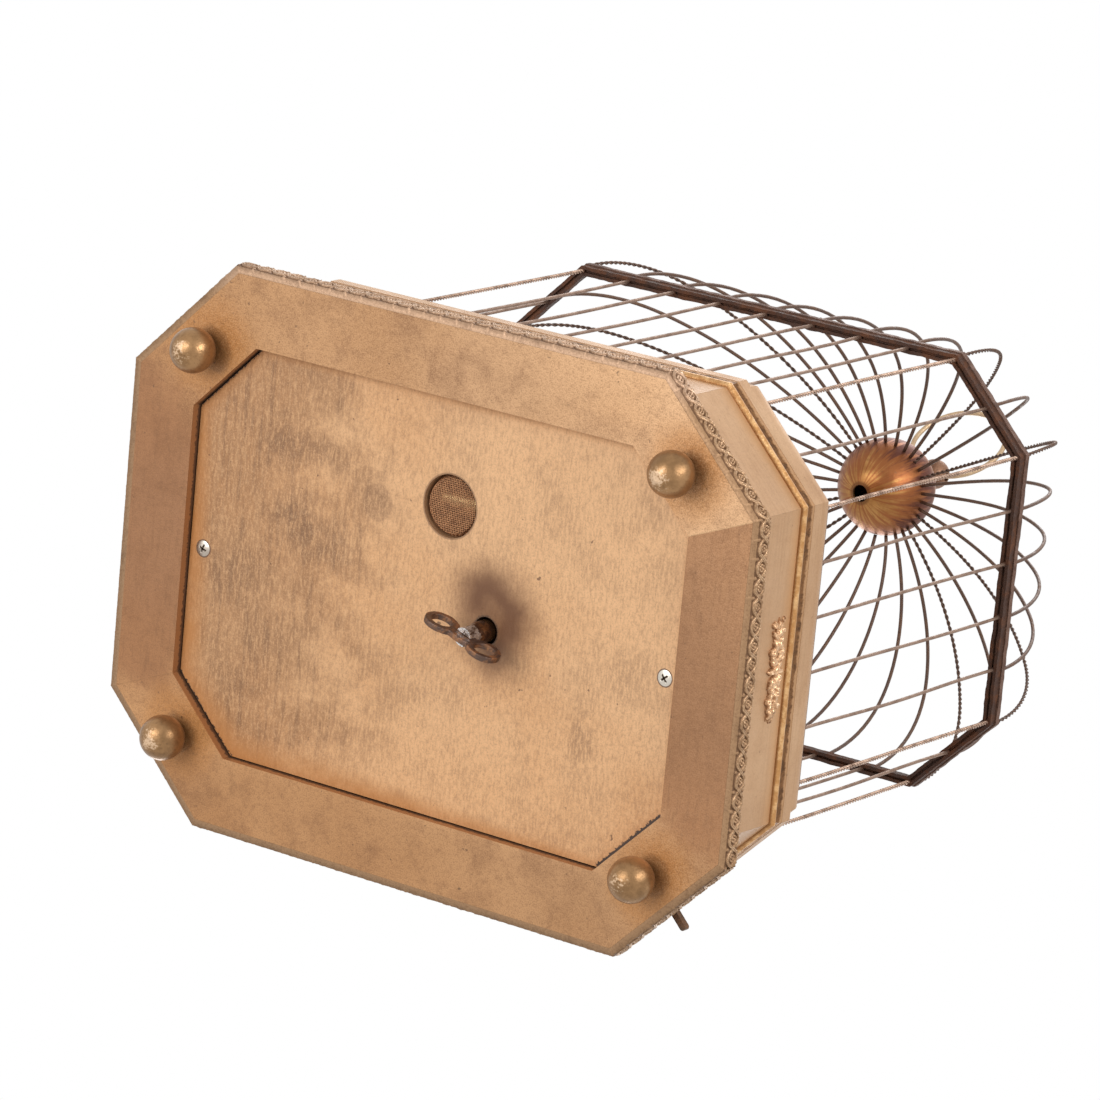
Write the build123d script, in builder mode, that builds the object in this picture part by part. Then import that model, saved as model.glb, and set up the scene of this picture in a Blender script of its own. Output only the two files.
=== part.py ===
from build123d import *
from math import acos, cos, degrees, hypot, radians, sin, sqrt
import os

os.makedirs("parts", exist_ok=True)

# A key-wound singing-bird cage: a wooden box base with canted corners on four ball feet, a domed
# wire cage on its deck, a clockwork movement inside and a bird on a perch.
# The origin is on the floor under the middle of the base, X runs along its long side, Z is up.

# ---- driving dimensions, in millimetres ----

# base box, plan
base_length = 330.0
base_width = 250.0
base_chamfer = 50.5          # what each canted corner takes off both sides
rail_width = 31.3            # bottom frame rails
joint_gap = 0.05             # glued mitre joints show as a fine line

# ball feet
foot_diameter = 20.5
foot_flat = 0.2              # worn flat that stands on the floor
foot_seat = 0.3              # flat that beds on the frame
foot_dowel = 6.0
foot_dowel_length = 7.0

# base box, heights
frame_thickness = 10.0
cover_recess = 5.0
frieze_height = 44.0         # from the bottom frame to the gilt fillet
fillet_height = 8.0
band_height = 6.0
deck_thickness = 17.0

# base box, sections
moulding_reach = 4.2         # guilloche strip, proud of the bottom frame
edge_bead = 1.2
wall_inset = 11.5
wall_thickness = 8.0
bead_radius = 1.9
cavetto_reach = 1.5
band_reach = 1.6
deck_inset = 14.2
deck_edge_radius = 8.0

# carved sprays on the friezes
spray_length = 49.0
spray_height = 12.5
spray_relief = 3.2
spray_drop = 2.0             # below the gilt fillet
leaf_pair_count = 2
leaf_sides = 8

# bottom cover and what it carries
cover_clearance = 0.6
key_x = 31.1
key_y = 4.5
key_hole_diameter = 12.5
sound_x = 6.6
sound_y = -45.6
sound_hole_diameter = 28.0
mesh_margin = 4.0
mesh_thickness = 0.6
cleat_length = 60.0
cleat_reach = 14.0           # how far a cleat overhangs the cover
cleat_thickness = 8.0
screw_edge = 8.0             # cover screw, from the frame opening
screw_offset = 3.0
screw_shank = 3.5
screw_head = 7.4
screw_head_depth = 2.0
screw_dome = 0.8
screw_bite = 6.0             # depth of thread in the cleat
shank_clearance = 0.1

# cage
cage_length = 282.4          # between the wires of the two short sides
cage_width = 198.8
cage_chamfer = 37.5
sill_width = 5.0
sill_height = 6.0
wall_wire_height = 155.8
wire_diameter = 1.6
twist_diameter = 2.4         # two strands twisted together, over both
wire_sides = 8               # drawn through a plate, the flats hardly show
dome_wire_sides = 6
long_gap_count = 8
short_gap_count = 5
chamfer_gap_count = 2
shoulder_width = 4.6
shoulder_height = 4.0
channel_groove = 1.2
hoop_width = 3.0
hoop_height = 3.0
hoop_offset = 1.5            # dome hoop, outwards from the wall wires
dome_height = 112.2
dome_wire_diameter = 1.7
ball_diameter = 47.0
ball_wall = 1.0
ball_rise = 2.4              # ball centre above the top of the dome wires
ball_hole_diameter = 8.0
solder_gap = 0.2

# finial and carrying ring
ball_flat = 0.7
collar_diameter = 19.0
collar_height = 5.0
neck_diameter = 9.0
neck_height = 9.0
knob_diameter = 14.6
ring_diameter = 46.6
ring_wire = 2.4
ring_tilt = 32.0             # from upright, towards -Y
ring_sag = 0.57              # half of the ring's curve inside the knob
ring_clearance = 0.3

# winding key
bow_length = 39.7
bow_lobe = 15.2
bow_hole = 8.8
bow_thickness = 3.0
bow_web = 6.0
bow_turn = 17.5              # degrees from X towards Y
floor_clearance = 0.9
hub_diameter = 8.4
hub_flare = 3.0              # height of the cone between hub and stem
stem_diameter = 10.0
slot_clearance = 0.05

# movement
plate_length = 124.0
plate_width = 76.0
plate_x = 6.0
plate_y = 6.0
plate_thickness = 2.5
plate_height = 12.0          # lower plate, above the cover
plate_spacing = 27.5         # between the plates
pillar_diameter = 6.0
pillar_edge = 6.0
running_clearance = 0.05
arbor_diameter = 5.0
pivot_diameter = 3.0
shake = 0.3                  # end play of the arbors
square_diameter = 3.6        # end of the winding arbor that the key holds
square_length = 8.0
hub_to_plate = 3.0
train_module = 1.6
great_teeth = 32
pinion_teeth = 8
second_teeth = 24
third_teeth = 21
fly_teeth = 7
fly_turn = 120.0             # bearing of the fly from the third arbor
wheel_thickness = 2.0
pinion_height = 6.0
drum_radius = 23.6
drum_height = 16.0
drum_wall = 1.2
drum_lift = 1.5
ratchet_teeth = 14
ratchet_radius = 9.6
ratchet_depth = 1.6
ratchet_thickness = 2.5
click_pin_diameter = 3.0
click_width = 3.6
click_nose_gap = 0.5
click_spring_thickness = 0.5
spring_gap = 0.3
cam_radius = 11.0
cam_throw = 2.0
cam_thickness = 3.0
fly_radius = 8.5
fly_height = 7.0
vane_thickness = 0.8

# bellows and whistle
chest_length = 66.0
chest_width = 52.0
chest_height = 8.5
chest_wall = 3.0
whistle_diameter = 11.0
whistle_bore = 8.0
whistle_length = 44.0
whistle_window = 5.0
mesh_to_whistle = 1.9
piston_rod = 2.0
piston_rod_length = 24.0
piston_length = 8.0
piston_start = 4.0           # from the open end of the tube
bellows_rise = 14.0
bellows_margin = 2.0
soft_gap = 0.3
board_thickness = 3.0
post_side = 6.0

# stop lever
lever_width = 3.0
lever_reach = 10.9           # tip beyond the bottom frame
lever_pivot_depth = 45.0     # pivot, inwards from the outer face of the wall
lever_lift = 5.0             # lever centre above the bottom frame
lever_offset = -7.0          # at rest, along the canted wall
lever_tail = 22.0
lever_swing = 17.0           # degrees
lever_eye = 10.0
lever_post_diameter = 5.0
post_head = 1.5
slot_margin = 1.5

# perch and bird
perch_diameter = 6.4
perch_bore = 4.8
perch_height = 74.0
perch_length = 62.0
perch_bar = 6.0
rod_diameter = 0.9
rod_circle = 1.3
rod_lower_end = 2.0          # above the top plate
rod_upper_end = 6.0          # below the perch bar
bird_length = 64.0
bird_girth = 29.0
bird_pitch = 38.0
leg_diameter = 1.8
leg_length = 11.0
leg_spacing = 13.0
head_diameter = 21.0
head_ahead = 22.0
head_above = 20.0
neck_clearance = 0.4
wing_length = 45.0
wing_depth = 13.0
wing_thickness = 4.0
wing_stance = 0.72           # of the body's radius, from the middle to the inside of a wing
beak_length = 10.0
beak_width = 6.4
beak_gape = 0.3
beak_recess = 1.1            # behind the lower beak, so that it can drop open
tail_length = 40.0
tail_width = 15.0
tail_thickness = 3.0
tail_drop = 34.0             # degrees below level
tail_gap = 0.8

# ---- worked-out heights ----
base_z = foot_diameter - foot_flat - foot_seat
frame_top = base_z + frame_thickness
fillet_z = frame_top + frieze_height
band_z = fillet_z + fillet_height
deck_z = band_z + band_height
deck_top = deck_z + deck_thickness
sill_top = deck_top + sill_height
shoulder_z = sill_top + wall_wire_height
hoop_z = shoulder_z + shoulder_height
dome_z = hoop_z + hoop_height
ball_radius = ball_diameter / 2
ball_z = dome_z + dome_height + ball_rise

base_outline = (base_length / 2, base_width / 2, base_chamfer)
cage_outline = (cage_length / 2, cage_width / 2, cage_chamfer)


def inset_outline(outline, inset):
    """The canted rectangle (half length, half width, chamfer) moved inwards by inset all round."""
    half_x, half_y, leg = outline
    return half_x - inset, half_y - inset, leg - inset * (2 - sqrt(2))


def outline_corners(outline, inset=0.0):
    """Its eight corners, anticlockwise, from the front side's left end."""
    half_x, half_y, leg = inset_outline(outline, inset)
    return [
        (leg - half_x, -half_y),
        (half_x - leg, -half_y),
        (half_x, leg - half_y),
        (half_x, half_y - leg),
        (half_x - leg, half_y),
        (leg - half_x, half_y),
        (-half_x, half_y - leg),
        (-half_x, leg - half_y),
    ]


def mitred_boards(outline, outer, inner):
    """Plan of the eight mitred boards between two insets, with a fine joint at each mitre."""
    outside = outline_corners(outline, outer)
    inside = outline_corners(outline, inner)
    boards = []
    for i in range(8):
        start, end = Vector(*outside[i]), Vector(*outside[(i + 1) % 8])
        trim = (end - start).normalized() * (joint_gap / 2)
        corners = [start + trim, end - trim, Vector(*inside[(i + 1) % 8]) - trim, Vector(*inside[i]) + trim]
        boards.append([(corner.X, corner.Y) for corner in corners])
    return boards


def side_plane(outline, side, inset, height):
    """A plane on the middle of a side's outer face: x along the side, y up, z outwards."""
    corners = outline_corners(outline, inset)
    start, end = Vector(*corners[side]), Vector(*corners[(side + 1) % 8])
    middle = (start + end) * 0.5
    along = (end - start).normalized()
    return Plane(origin=(middle.X, middle.Y, height), x_dir=along, z_dir=along.cross(Vector(0, 0, 1)))


def side_points(outline, inset, side, gaps):
    """Evenly spaced points between the corners of one side."""
    corners = outline_corners(outline, inset)
    start, end = Vector(*corners[side]), Vector(*corners[(side + 1) % 8])
    places = [start + (end - start) * (step / gaps) for step in range(1, gaps)]
    return [(place.X, place.Y) for place in places]


def write(part, name):
    part.label = name
    export_step(part, "parts/" + name + ".step")


front, right, back, left = range(0, 8, 2)
chamfers = range(1, 8, 2)
lever_side = chamfers[1]

# ---- ball feet, in the middle of the canted frame rails ----
foot_points = []
for side in chamfers:
    place = side_plane(base_outline, side, rail_width / 2, 0).origin
    foot_points.append((place.X, place.Y))

with BuildPart() as ball_feet:
    with BuildSketch(Plane.XZ) as foot_section:
        with Locations((0, foot_diameter / 2 - foot_flat)):
            Circle(foot_diameter / 2)
        with Locations((0, base_z)):
            Rectangle(foot_diameter, base_z, align=(Align.CENTER, Align.MAX), mode=Mode.INTERSECT)
            Rectangle(foot_dowel, foot_dowel_length, align=(Align.CENTER, Align.MIN))
        with Locations((0, 0)):
            Rectangle(foot_diameter, 2 * foot_diameter, align=(Align.MIN, Align.MIN), mode=Mode.INTERSECT)
    with Locations(*foot_points):
        add(revolve(foot_section.sketch, axis=Axis.Z, mode=Mode.PRIVATE))
write(ball_feet.part, "ball_feet")

# ---- bottom frame: eight mitred rails, bored for the feet ----
with BuildPart() as bottom_frame:
    with BuildSketch(Plane.XY.offset(base_z)):
        for board in mitred_boards(base_outline, 0, rail_width):
            Polygon(*board, align=None)
    extrude(amount=frame_thickness)
    with BuildSketch(Plane.XY.offset(base_z)):
        with Locations(*foot_points):
            Circle(foot_dowel / 2 + shank_clearance)
    extrude(amount=foot_dowel_length + shank_clearance, mode=Mode.SUBTRACT)
write(bottom_frame.part, "bottom_frame")

# ---- guilloche strips round the bottom frame, a swelled section with a bead at each edge ----
with BuildPart() as guilloche_moulding:
    with BuildLine():
        Polyline(*outline_corners(base_outline), close=True)
    start_x, start_y = outline_corners(base_outline)[0]
    with BuildSketch(Plane(origin=(start_x, start_y, base_z), x_dir=(0, -1, 0), z_dir=(-1, 0, 0))):
        with BuildLine():
            Line((0, frame_thickness), (0, 0))
            Line((0, 0), (edge_bead, 0))
            ThreePointArc((edge_bead, 0), (moulding_reach, frame_thickness / 2), (edge_bead, frame_thickness))
            Line((edge_bead, frame_thickness), (0, frame_thickness))
        make_face()
        with Locations((edge_bead, edge_bead), (edge_bead, frame_thickness - edge_bead)):
            Circle(edge_bead)
        with Locations((0, frame_thickness / 2)):
            Rectangle(2 * moulding_reach, frame_thickness,
                      align=(Align.MIN, Align.CENTER), mode=Mode.INTERSECT)
    sweep(transition=Transition.RIGHT)
write(guilloche_moulding.part, "guilloche_moulding")

# ---- case walls: eight mitred boards; the lever's slot is in a canted one ----
lever_z = frame_top + lever_lift
lever_plane = side_plane(base_outline, lever_side, wall_inset, lever_z)
slot_half = abs(lever_offset) + lever_width / 2 + slot_margin
with BuildPart() as case_walls:
    with BuildSketch(Plane.XY.offset(frame_top)):
        for board in mitred_boards(base_outline, wall_inset, wall_inset + wall_thickness):
            Polygon(*board, align=None)
    extrude(amount=deck_z - frame_top)
    with BuildSketch(lever_plane):
        SlotOverall(2 * slot_half, lever_width + 2 * slot_margin)
    extrude(amount=-2 * wall_thickness, mode=Mode.SUBTRACT)
write(case_walls.part, "case_walls")

# ---- gilt fillet: a bead under a small cavetto, mitred round the walls ----
with BuildPart() as gilt_fillet:
    with BuildLine():
        Polyline(*outline_corners(base_outline, wall_inset), close=True)
    start_x, start_y = outline_corners(base_outline, wall_inset)[0]
    with BuildSketch(Plane(origin=(start_x, start_y, fillet_z), x_dir=(0, -1, 0), z_dir=(-1, 0, 0))):
        with BuildLine():
            Line((0, fillet_height), (0, 0))
            ThreePointArc((0, 0), (bead_radius, bead_radius), (0.4 * bead_radius, 2 * bead_radius))
            hollow_start = (0.4 * bead_radius, 2 * bead_radius)
            RadiusArc(hollow_start, (cavetto_reach, fillet_height), 2 * fillet_height)
            Line((cavetto_reach, fillet_height), (0, fillet_height))
        make_face()
    sweep(transition=Transition.RIGHT)
write(gilt_fillet.part, "gilt_fillet")

# ---- plinth band above the fillet ----
with BuildPart() as plinth_band:
    with BuildSketch(Plane.XY.offset(band_z)):
        for board in mitred_boards(base_outline, wall_inset - band_reach, wall_inset):
            Polygon(*board, align=None)
    extrude(amount=band_height)
write(plinth_band.part, "plinth_band")

# ---- deck board with an ovolo edge, bored for the perch tube ----
with BuildPart() as deck_board:
    with BuildSketch(Plane.XY.offset(deck_z)):
        Polygon(*outline_corners(base_outline, deck_inset), align=None)
    extrude(amount=deck_thickness)
    fillet(deck_board.faces().sort_by(Axis.Z)[-1].edges(), radius=deck_edge_radius)
    with BuildSketch(Plane.XY.offset(deck_z)):
        Circle(perch_diameter / 2 + shank_clearance)
    extrude(amount=deck_thickness, mode=Mode.SUBTRACT)
write(deck_board.part, "deck_board")

# ---- carved sprays in the middle of the four long friezes ----
spray_z = fillet_z - spray_height / 2 - spray_drop
with BuildPart() as frieze_ornaments:
    for side in (front, right, back, left):
        for leaf in range(-leaf_pair_count, leaf_pair_count + 1):
            reach = abs(leaf) / leaf_pair_count
            leaf_x = leaf / leaf_pair_count * (spray_length - spray_height * 0.7) / 2
            with BuildSketch(side_plane(base_outline, side, wall_inset, spray_z)):
                with Locations((leaf_x, 0.8 * (-1) ** leaf)):
                    RegularPolygon(spray_height * (0.5 - 0.2 * reach), leaf_sides)
            extrude(amount=spray_relief * (1 - 0.3 * reach))
write(frieze_ornaments.part, "frieze_ornaments")

# ---- bottom cover, flush with the frame's inner face, with its holes ----
opening = inset_outline(base_outline, rail_width)
screw_x = opening[0] - screw_edge
screw_points = [(-screw_x, screw_offset), (screw_x, screw_offset)]
cover_z = base_z + cover_recess
with BuildPart() as bottom_cover:
    with BuildSketch(Plane.XY.offset(cover_z)):
        Polygon(*outline_corners(opening, cover_clearance), align=None)
        with Locations((key_x, key_y)):
            Circle(key_hole_diameter / 2, mode=Mode.SUBTRACT)
        with Locations((sound_x, sound_y)):
            Circle(sound_hole_diameter / 2, mode=Mode.SUBTRACT)
        with Locations(*screw_points):
            Circle(screw_shank / 2 + shank_clearance, mode=Mode.SUBTRACT)
    extrude(amount=frame_top - cover_z)
    for point in screw_points:
        with Locations((*point, cover_z)):
            Cone(screw_head / 2, screw_shank / 2, screw_head_depth,
                 align=(Align.CENTER, Align.CENTER, Align.MIN), mode=Mode.SUBTRACT)
write(bottom_cover.part, "bottom_cover")

# ---- cleats under which the cover is screwed ----
cleat_outer = base_length / 2 - wall_inset - wall_thickness
cleat_inner = opening[0] - cleat_reach
with BuildPart() as cover_cleats:
    with BuildSketch(Plane.XY.offset(frame_top)):
        for end in (-1, 1):
            with Locations((end * (cleat_outer + cleat_inner) / 2, 0)):
                Rectangle(cleat_outer - cleat_inner, cleat_length)
        with Locations(*screw_points):
            Circle(screw_shank / 2 + shank_clearance, mode=Mode.SUBTRACT)
    extrude(amount=cleat_thickness)
write(cover_cleats.part, "cover_cleats")

# ---- oval-head screws through the cover into the cleats ----
screw_tip_z = frame_top + screw_bite
dome_radius = ((screw_head / 2) ** 2 + screw_dome ** 2) / (2 * screw_dome)
with BuildPart() as cover_screws:
    with BuildSketch(Plane.XZ) as screw_section:
        with Locations((0, cover_z - screw_dome + dome_radius)):
            Circle(dome_radius)
        with Locations((0, cover_z)):
            Rectangle(screw_head, screw_head, align=(Align.CENTER, Align.MAX), mode=Mode.INTERSECT)
        Polygon(
            (-screw_head / 2, cover_z),
            (screw_head / 2, cover_z),
            (screw_shank / 2, cover_z + screw_head_depth),
            (screw_shank / 2, screw_tip_z - screw_shank / 2),
            (0, screw_tip_z),
            (-screw_shank / 2, screw_tip_z - screw_shank / 2),
            (-screw_shank / 2, cover_z + screw_head_depth),
            align=None,
        )
        Rectangle(screw_head, 2 * screw_tip_z, align=(Align.MIN, Align.CENTER), mode=Mode.INTERSECT)
    with Locations(*screw_points):
        add(revolve(screw_section.sketch, axis=Axis.Z, mode=Mode.PRIVATE))
write(cover_screws.part, "cover_screws")

# ---- wire mesh behind the sound hole ----
with BuildPart() as sound_mesh:
    with BuildSketch(Plane.XY.offset(frame_top)):
        with Locations((sound_x, sound_y)):
            Circle(sound_hole_diameter / 2 + mesh_margin)
    extrude(amount=mesh_thickness)
write(sound_mesh.part, "sound_mesh")

# ---- cage sill on the deck ----
with BuildPart() as cage_sill:
    with BuildSketch(Plane.XY.offset(deck_top)):
        Polygon(*outline_corners(cage_outline, -sill_width / 2), align=None)
        Polygon(*outline_corners(cage_outline, sill_width / 2), align=None, mode=Mode.SUBTRACT)
    extrude(amount=sill_height)
write(cage_sill.part, "cage_sill")


def wall_wires(points, diameter):
    """Upright wires from the sill to the shoulder."""
    with BuildPart() as wires:
        with BuildSketch(Plane.XY.offset(sill_top)):
            with Locations(*points):
                RegularPolygon(diameter / 2, wire_sides)
        extrude(amount=wall_wire_height)
    return wires.part


def group_points(sides, inset, gaps):
    return [point for side in sides for point in side_points(cage_outline, inset, side, gaps)]


wire_groups = {
    "long_side": ((front, back), long_gap_count),
    "short_side": ((right, left), short_gap_count),
    "chamfer": (chamfers, chamfer_gap_count),
}
for group, (sides, gaps) in wire_groups.items():
    write(wall_wires(group_points(sides, 0, gaps), wire_diameter), group + "_wires")
write(wall_wires(outline_corners(cage_outline), twist_diameter), "corner_wires")

# ---- shoulder channel that the wall wires end in, and the dome hoop on it ----
with BuildPart() as shoulder_band:
    with BuildSketch(Plane.XY.offset(shoulder_z)):
        Polygon(*outline_corners(cage_outline, -shoulder_width / 2), align=None)
        Polygon(*outline_corners(cage_outline, shoulder_width / 2), align=None, mode=Mode.SUBTRACT)
    extrude(amount=shoulder_height)
    with BuildSketch(Plane.XY.offset(shoulder_z)):
        groove = -shoulder_width / 2 + channel_groove / 2
        Polygon(*outline_corners(cage_outline, groove), align=None)
        Polygon(*outline_corners(cage_outline, groove + channel_groove / 2), align=None, mode=Mode.SUBTRACT)
    extrude(amount=channel_groove, mode=Mode.SUBTRACT)
write(shoulder_band.part, "shoulder_band")

with BuildPart() as dome_hoop:
    with BuildSketch(Plane.XY.offset(hoop_z)):
        Polygon(*outline_corners(cage_outline, -hoop_offset - hoop_width / 2), align=None)
        Polygon(*outline_corners(cage_outline, -hoop_offset + hoop_width / 2), align=None, mode=Mode.SUBTRACT)
    extrude(amount=hoop_height)
write(dome_hoop.part, "dome_hoop")


def dome_wires(points, diameter):
    """Dome wires: each rises from the hoop, bends in two tangent arcs and meets the ball."""
    with BuildPart() as wires:
        for point in points:
            run = hypot(*point)
            outwards = Vector(*point).normalized()
            across = Vector(0, 0, 1).cross(outwards)
            lower_radius = (dome_height - (sqrt(2) - 1) * run) / (2 - sqrt(2))
            upper_radius = lower_radius + (run - lower_radius) * sqrt(2)
            shift = (upper_radius - lower_radius) / sqrt(2)
            lower_centre = outwards * (run - lower_radius) + Vector(0, 0, dome_z)
            upper_centre = lower_centre - (outwards + Vector(0, 0, 1)) * shift
            bend = lower_centre + (outwards + Vector(0, 0, 1)) * (lower_radius / sqrt(2))
            end_run = sqrt(ball_radius ** 2 - ball_rise ** 2) + solder_gap
            end_turn = degrees(acos((end_run - run + lower_radius + shift) / upper_radius)) - 45
            with BuildSketch(Plane(origin=(*point, dome_z), x_dir=outwards, z_dir=(0, 0, 1))):
                RegularPolygon(diameter / 2, dome_wire_sides)
            revolve(axis=Axis(lower_centre, across * -1), revolution_arc=45)
            with BuildSketch(Plane(origin=bend, x_dir=outwards + Vector(0, 0, 1),
                                   z_dir=Vector(0, 0, 1) - outwards)):
                RegularPolygon(diameter / 2, dome_wire_sides)
            revolve(axis=Axis(upper_centre, across * -1), revolution_arc=end_turn)
    return wires.part


for group, (sides, gaps) in wire_groups.items():
    write(dome_wires(group_points(sides, -hoop_offset, gaps), dome_wire_diameter), "dome_" + group + "_wires")
write(dome_wires(outline_corners(cage_outline, -hoop_offset), twist_diameter), "dome_corner_wires")

# ---- hollow crown ball, open below, flat on top for the finial ----
ball_top = ball_z + ball_radius - ball_flat
with BuildPart() as crown_ball:
    with Locations((0, 0, ball_z)):
        Sphere(ball_radius)
        Sphere(ball_radius - ball_wall, mode=Mode.SUBTRACT)
    with BuildSketch(Plane.XY.offset(ball_top)):
        Circle(ball_radius)
    extrude(amount=ball_radius, mode=Mode.SUBTRACT)
    with BuildSketch(Plane.XY.offset(ball_z)):
        Circle(ball_hole_diameter / 2)
    extrude(amount=-2 * ball_radius, mode=Mode.SUBTRACT)
write(crown_ball.part, "crown_ball")

# ---- turned finial, cross-bored for the carrying ring ----
knob_radius = knob_diameter / 2
neck_top = ball_top + collar_height + neck_height
knob_z = neck_top + sqrt(knob_radius ** 2 - (neck_diameter / 2) ** 2)
ring_bore = ring_wire / 2 + ring_sag + ring_clearance
with BuildPart() as finial:
    with BuildSketch(Plane.XZ):
        with Locations((0, knob_z)):
            Circle(knob_radius)
        Polygon(
            (0, ball_top),
            (collar_diameter / 2 - 1.5, ball_top),
            (collar_diameter / 2, ball_top + 1.5),
            (collar_diameter / 2, ball_top + collar_height - 2.0),
            (neck_diameter / 2, ball_top + collar_height),
            (neck_diameter / 2, knob_z),
            (0, knob_z),
            align=None,
        )
        with Locations((0, ball_top)):
            Rectangle(collar_diameter, 4 * knob_diameter, align=(Align.MIN, Align.MIN), mode=Mode.INTERSECT)
    revolve(axis=Axis.Z)
    with BuildSketch(Plane.YZ):
        with Locations((0, knob_z)):
            Circle(ring_bore)
    extrude(amount=knob_diameter, both=True, mode=Mode.SUBTRACT)
write(finial.part, "finial")

# ---- carrying ring, tilted as it lies, its wire running through the knob ----
ring_radius = ring_diameter / 2
ring_up = Vector(0, -sin(radians(ring_tilt)), cos(radians(ring_tilt)))
ring_centre = Vector(0, 0, knob_z) + ring_up * (ring_radius - ring_sag)
with BuildPart() as carrying_ring:
    with BuildSketch(Plane(origin=ring_centre + ring_up * ring_radius, x_dir=ring_up, z_dir=(1, 0, 0))):
        RegularPolygon(ring_wire / 2, wire_sides)
    revolve(axis=Axis(ring_centre, ring_up.cross(Vector(1, 0, 0))))
write(carrying_ring.part, "carrying_ring")

# ---- winding key: a double-loop bow riveted in the hub's slot ----
bow_z = floor_clearance + bow_lobe / 2
bow_along = Vector(cos(radians(bow_turn)), sin(radians(bow_turn)), 0)
bow_plane = Plane(origin=(key_x, key_y, bow_z), x_dir=bow_along, z_dir=bow_along.cross(Vector(0, 0, 1)))
lobe_offset = (bow_length - bow_lobe) / 2
with BuildPart() as key_bow:
    with BuildSketch(bow_plane):
        with Locations((-lobe_offset, 0), (lobe_offset, 0)):
            Circle(bow_lobe / 2)
        Rectangle(2 * lobe_offset, bow_web)
        with Locations((-lobe_offset, 0), (lobe_offset, 0)):
            Circle(bow_hole / 2, mode=Mode.SUBTRACT)
    extrude(amount=bow_thickness / 2, both=True)
write(key_bow.part, "key_bow")

plate_z = frame_top + plate_height
hub_foot = bow_z
hub_shoulder = bow_z + bow_lobe / 2
hub_top = plate_z - hub_to_plate
square_foot = hub_top - square_length
with BuildPart() as key_hub:
    with BuildSketch(Plane.XZ) as hub_section:
        with BuildLine():
            Polyline(
                (0, hub_foot),
                (hub_diameter / 2, hub_foot),
                (hub_diameter / 2, hub_shoulder),
                (stem_diameter / 2, hub_shoulder + hub_flare),
                (stem_diameter / 2, hub_top),
                (0, hub_top),
                close=True,
            )
        make_face()
    with Locations((key_x, key_y)):
        add(revolve(hub_section.sketch, axis=Axis.Z, mode=Mode.PRIVATE))
    with BuildSketch(bow_plane):
        Rectangle(2 * hub_diameter, bow_web + 2 * slot_clearance)
    extrude(amount=bow_thickness / 2 + slot_clearance, both=True, mode=Mode.SUBTRACT)
    with BuildSketch(Plane.XY.offset(square_foot)):
        with Locations((key_x, key_y)):
            Circle(square_diameter / 2 + slot_clearance)
    extrude(amount=hub_top - square_foot, mode=Mode.SUBTRACT)
write(key_hub.part, "key_hub")

# ---- movement: places of the arbors and levels of the wheels ----
pitch = train_module / 2
second_x = key_x - pitch * (great_teeth + pinion_teeth)
third_x = second_x - pitch * (second_teeth + pinion_teeth)
fly_arm = pitch * (third_teeth + fly_teeth)
fly_x = third_x + fly_arm * cos(radians(fly_turn))
fly_y = key_y + fly_arm * sin(radians(fly_turn))
plate_top = plate_z + plate_thickness
upper_z = plate_top + plate_spacing
drum_z = plate_top + drum_lift
great_z = drum_z + drum_height
second_z = great_z + wheel_thickness + 2.0
third_z = great_z - 4.0 - wheel_thickness

plate_points = [
    (plate_x + side_x * (plate_length / 2 - pillar_edge), plate_y + side_y * (plate_width / 2 - pillar_edge))
    for side_x in (-1, 1) for side_y in (-1, 1)
]
train_points = [(second_x, key_y), (third_x, key_y), (fly_x, fly_y)]


def movement_plate(height, arbor_hole, name):
    with BuildPart() as plate:
        with BuildSketch(Plane.XY.offset(height)):
            with Locations((plate_x, plate_y)):
                Rectangle(plate_length, plate_width)
            with Locations((key_x, key_y)):
                Circle(arbor_hole / 2 + running_clearance, mode=Mode.SUBTRACT)
            with Locations(*train_points):
                Circle(pivot_diameter / 2 + running_clearance, mode=Mode.SUBTRACT)
            if name == "top_plate":
                Circle(perch_diameter / 2 + shank_clearance, mode=Mode.SUBTRACT)
                with Locations(click_point):
                    Circle(click_pin_diameter / 2 + running_clearance, mode=Mode.SUBTRACT)
        extrude(amount=plate_thickness)
    write(plate.part, name)


click_arm = ratchet_radius + click_width / 2 + 5.0
click_point = (key_x + click_arm, key_y + 5.0)
movement_plate(plate_z, arbor_diameter, "bottom_plate")
movement_plate(upper_z, pivot_diameter, "top_plate")

with BuildPart() as movement_pillars:
    for foot_z, head_z in ((plate_top, upper_z), (upper_z + plate_thickness, deck_z)):
        with BuildSketch(Plane.XY.offset(foot_z)):
            with Locations(*plate_points):
                RegularPolygon(pillar_diameter / 2, 6)
        extrude(amount=head_z - foot_z)
write(movement_pillars.part, "movement_pillars")


def gear_face(teeth, tooth_angle):
    """Sketch of a wheel with straight-flanked teeth, one of them centred on tooth_angle."""
    pitch_radius = pitch * teeth
    step = 360 / teeth
    root = pitch_radius - 1.15 * train_module
    tip = pitch_radius + 0.85 * train_module
    root_half = radians(step * 0.27)
    tip_half = radians(step * 0.11)
    RegularPolygon(root, teeth, rotation=tooth_angle)
    with PolarLocations(0, teeth, start_angle=tooth_angle):
        Polygon(
            (root * cos(root_half) - 0.3, -root * sin(root_half)),
            (tip, -tip * sin(tip_half)),
            (tip, tip * sin(tip_half)),
            (root * cos(root_half) - 0.3, root * sin(root_half)),
            align=None,
        )


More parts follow.
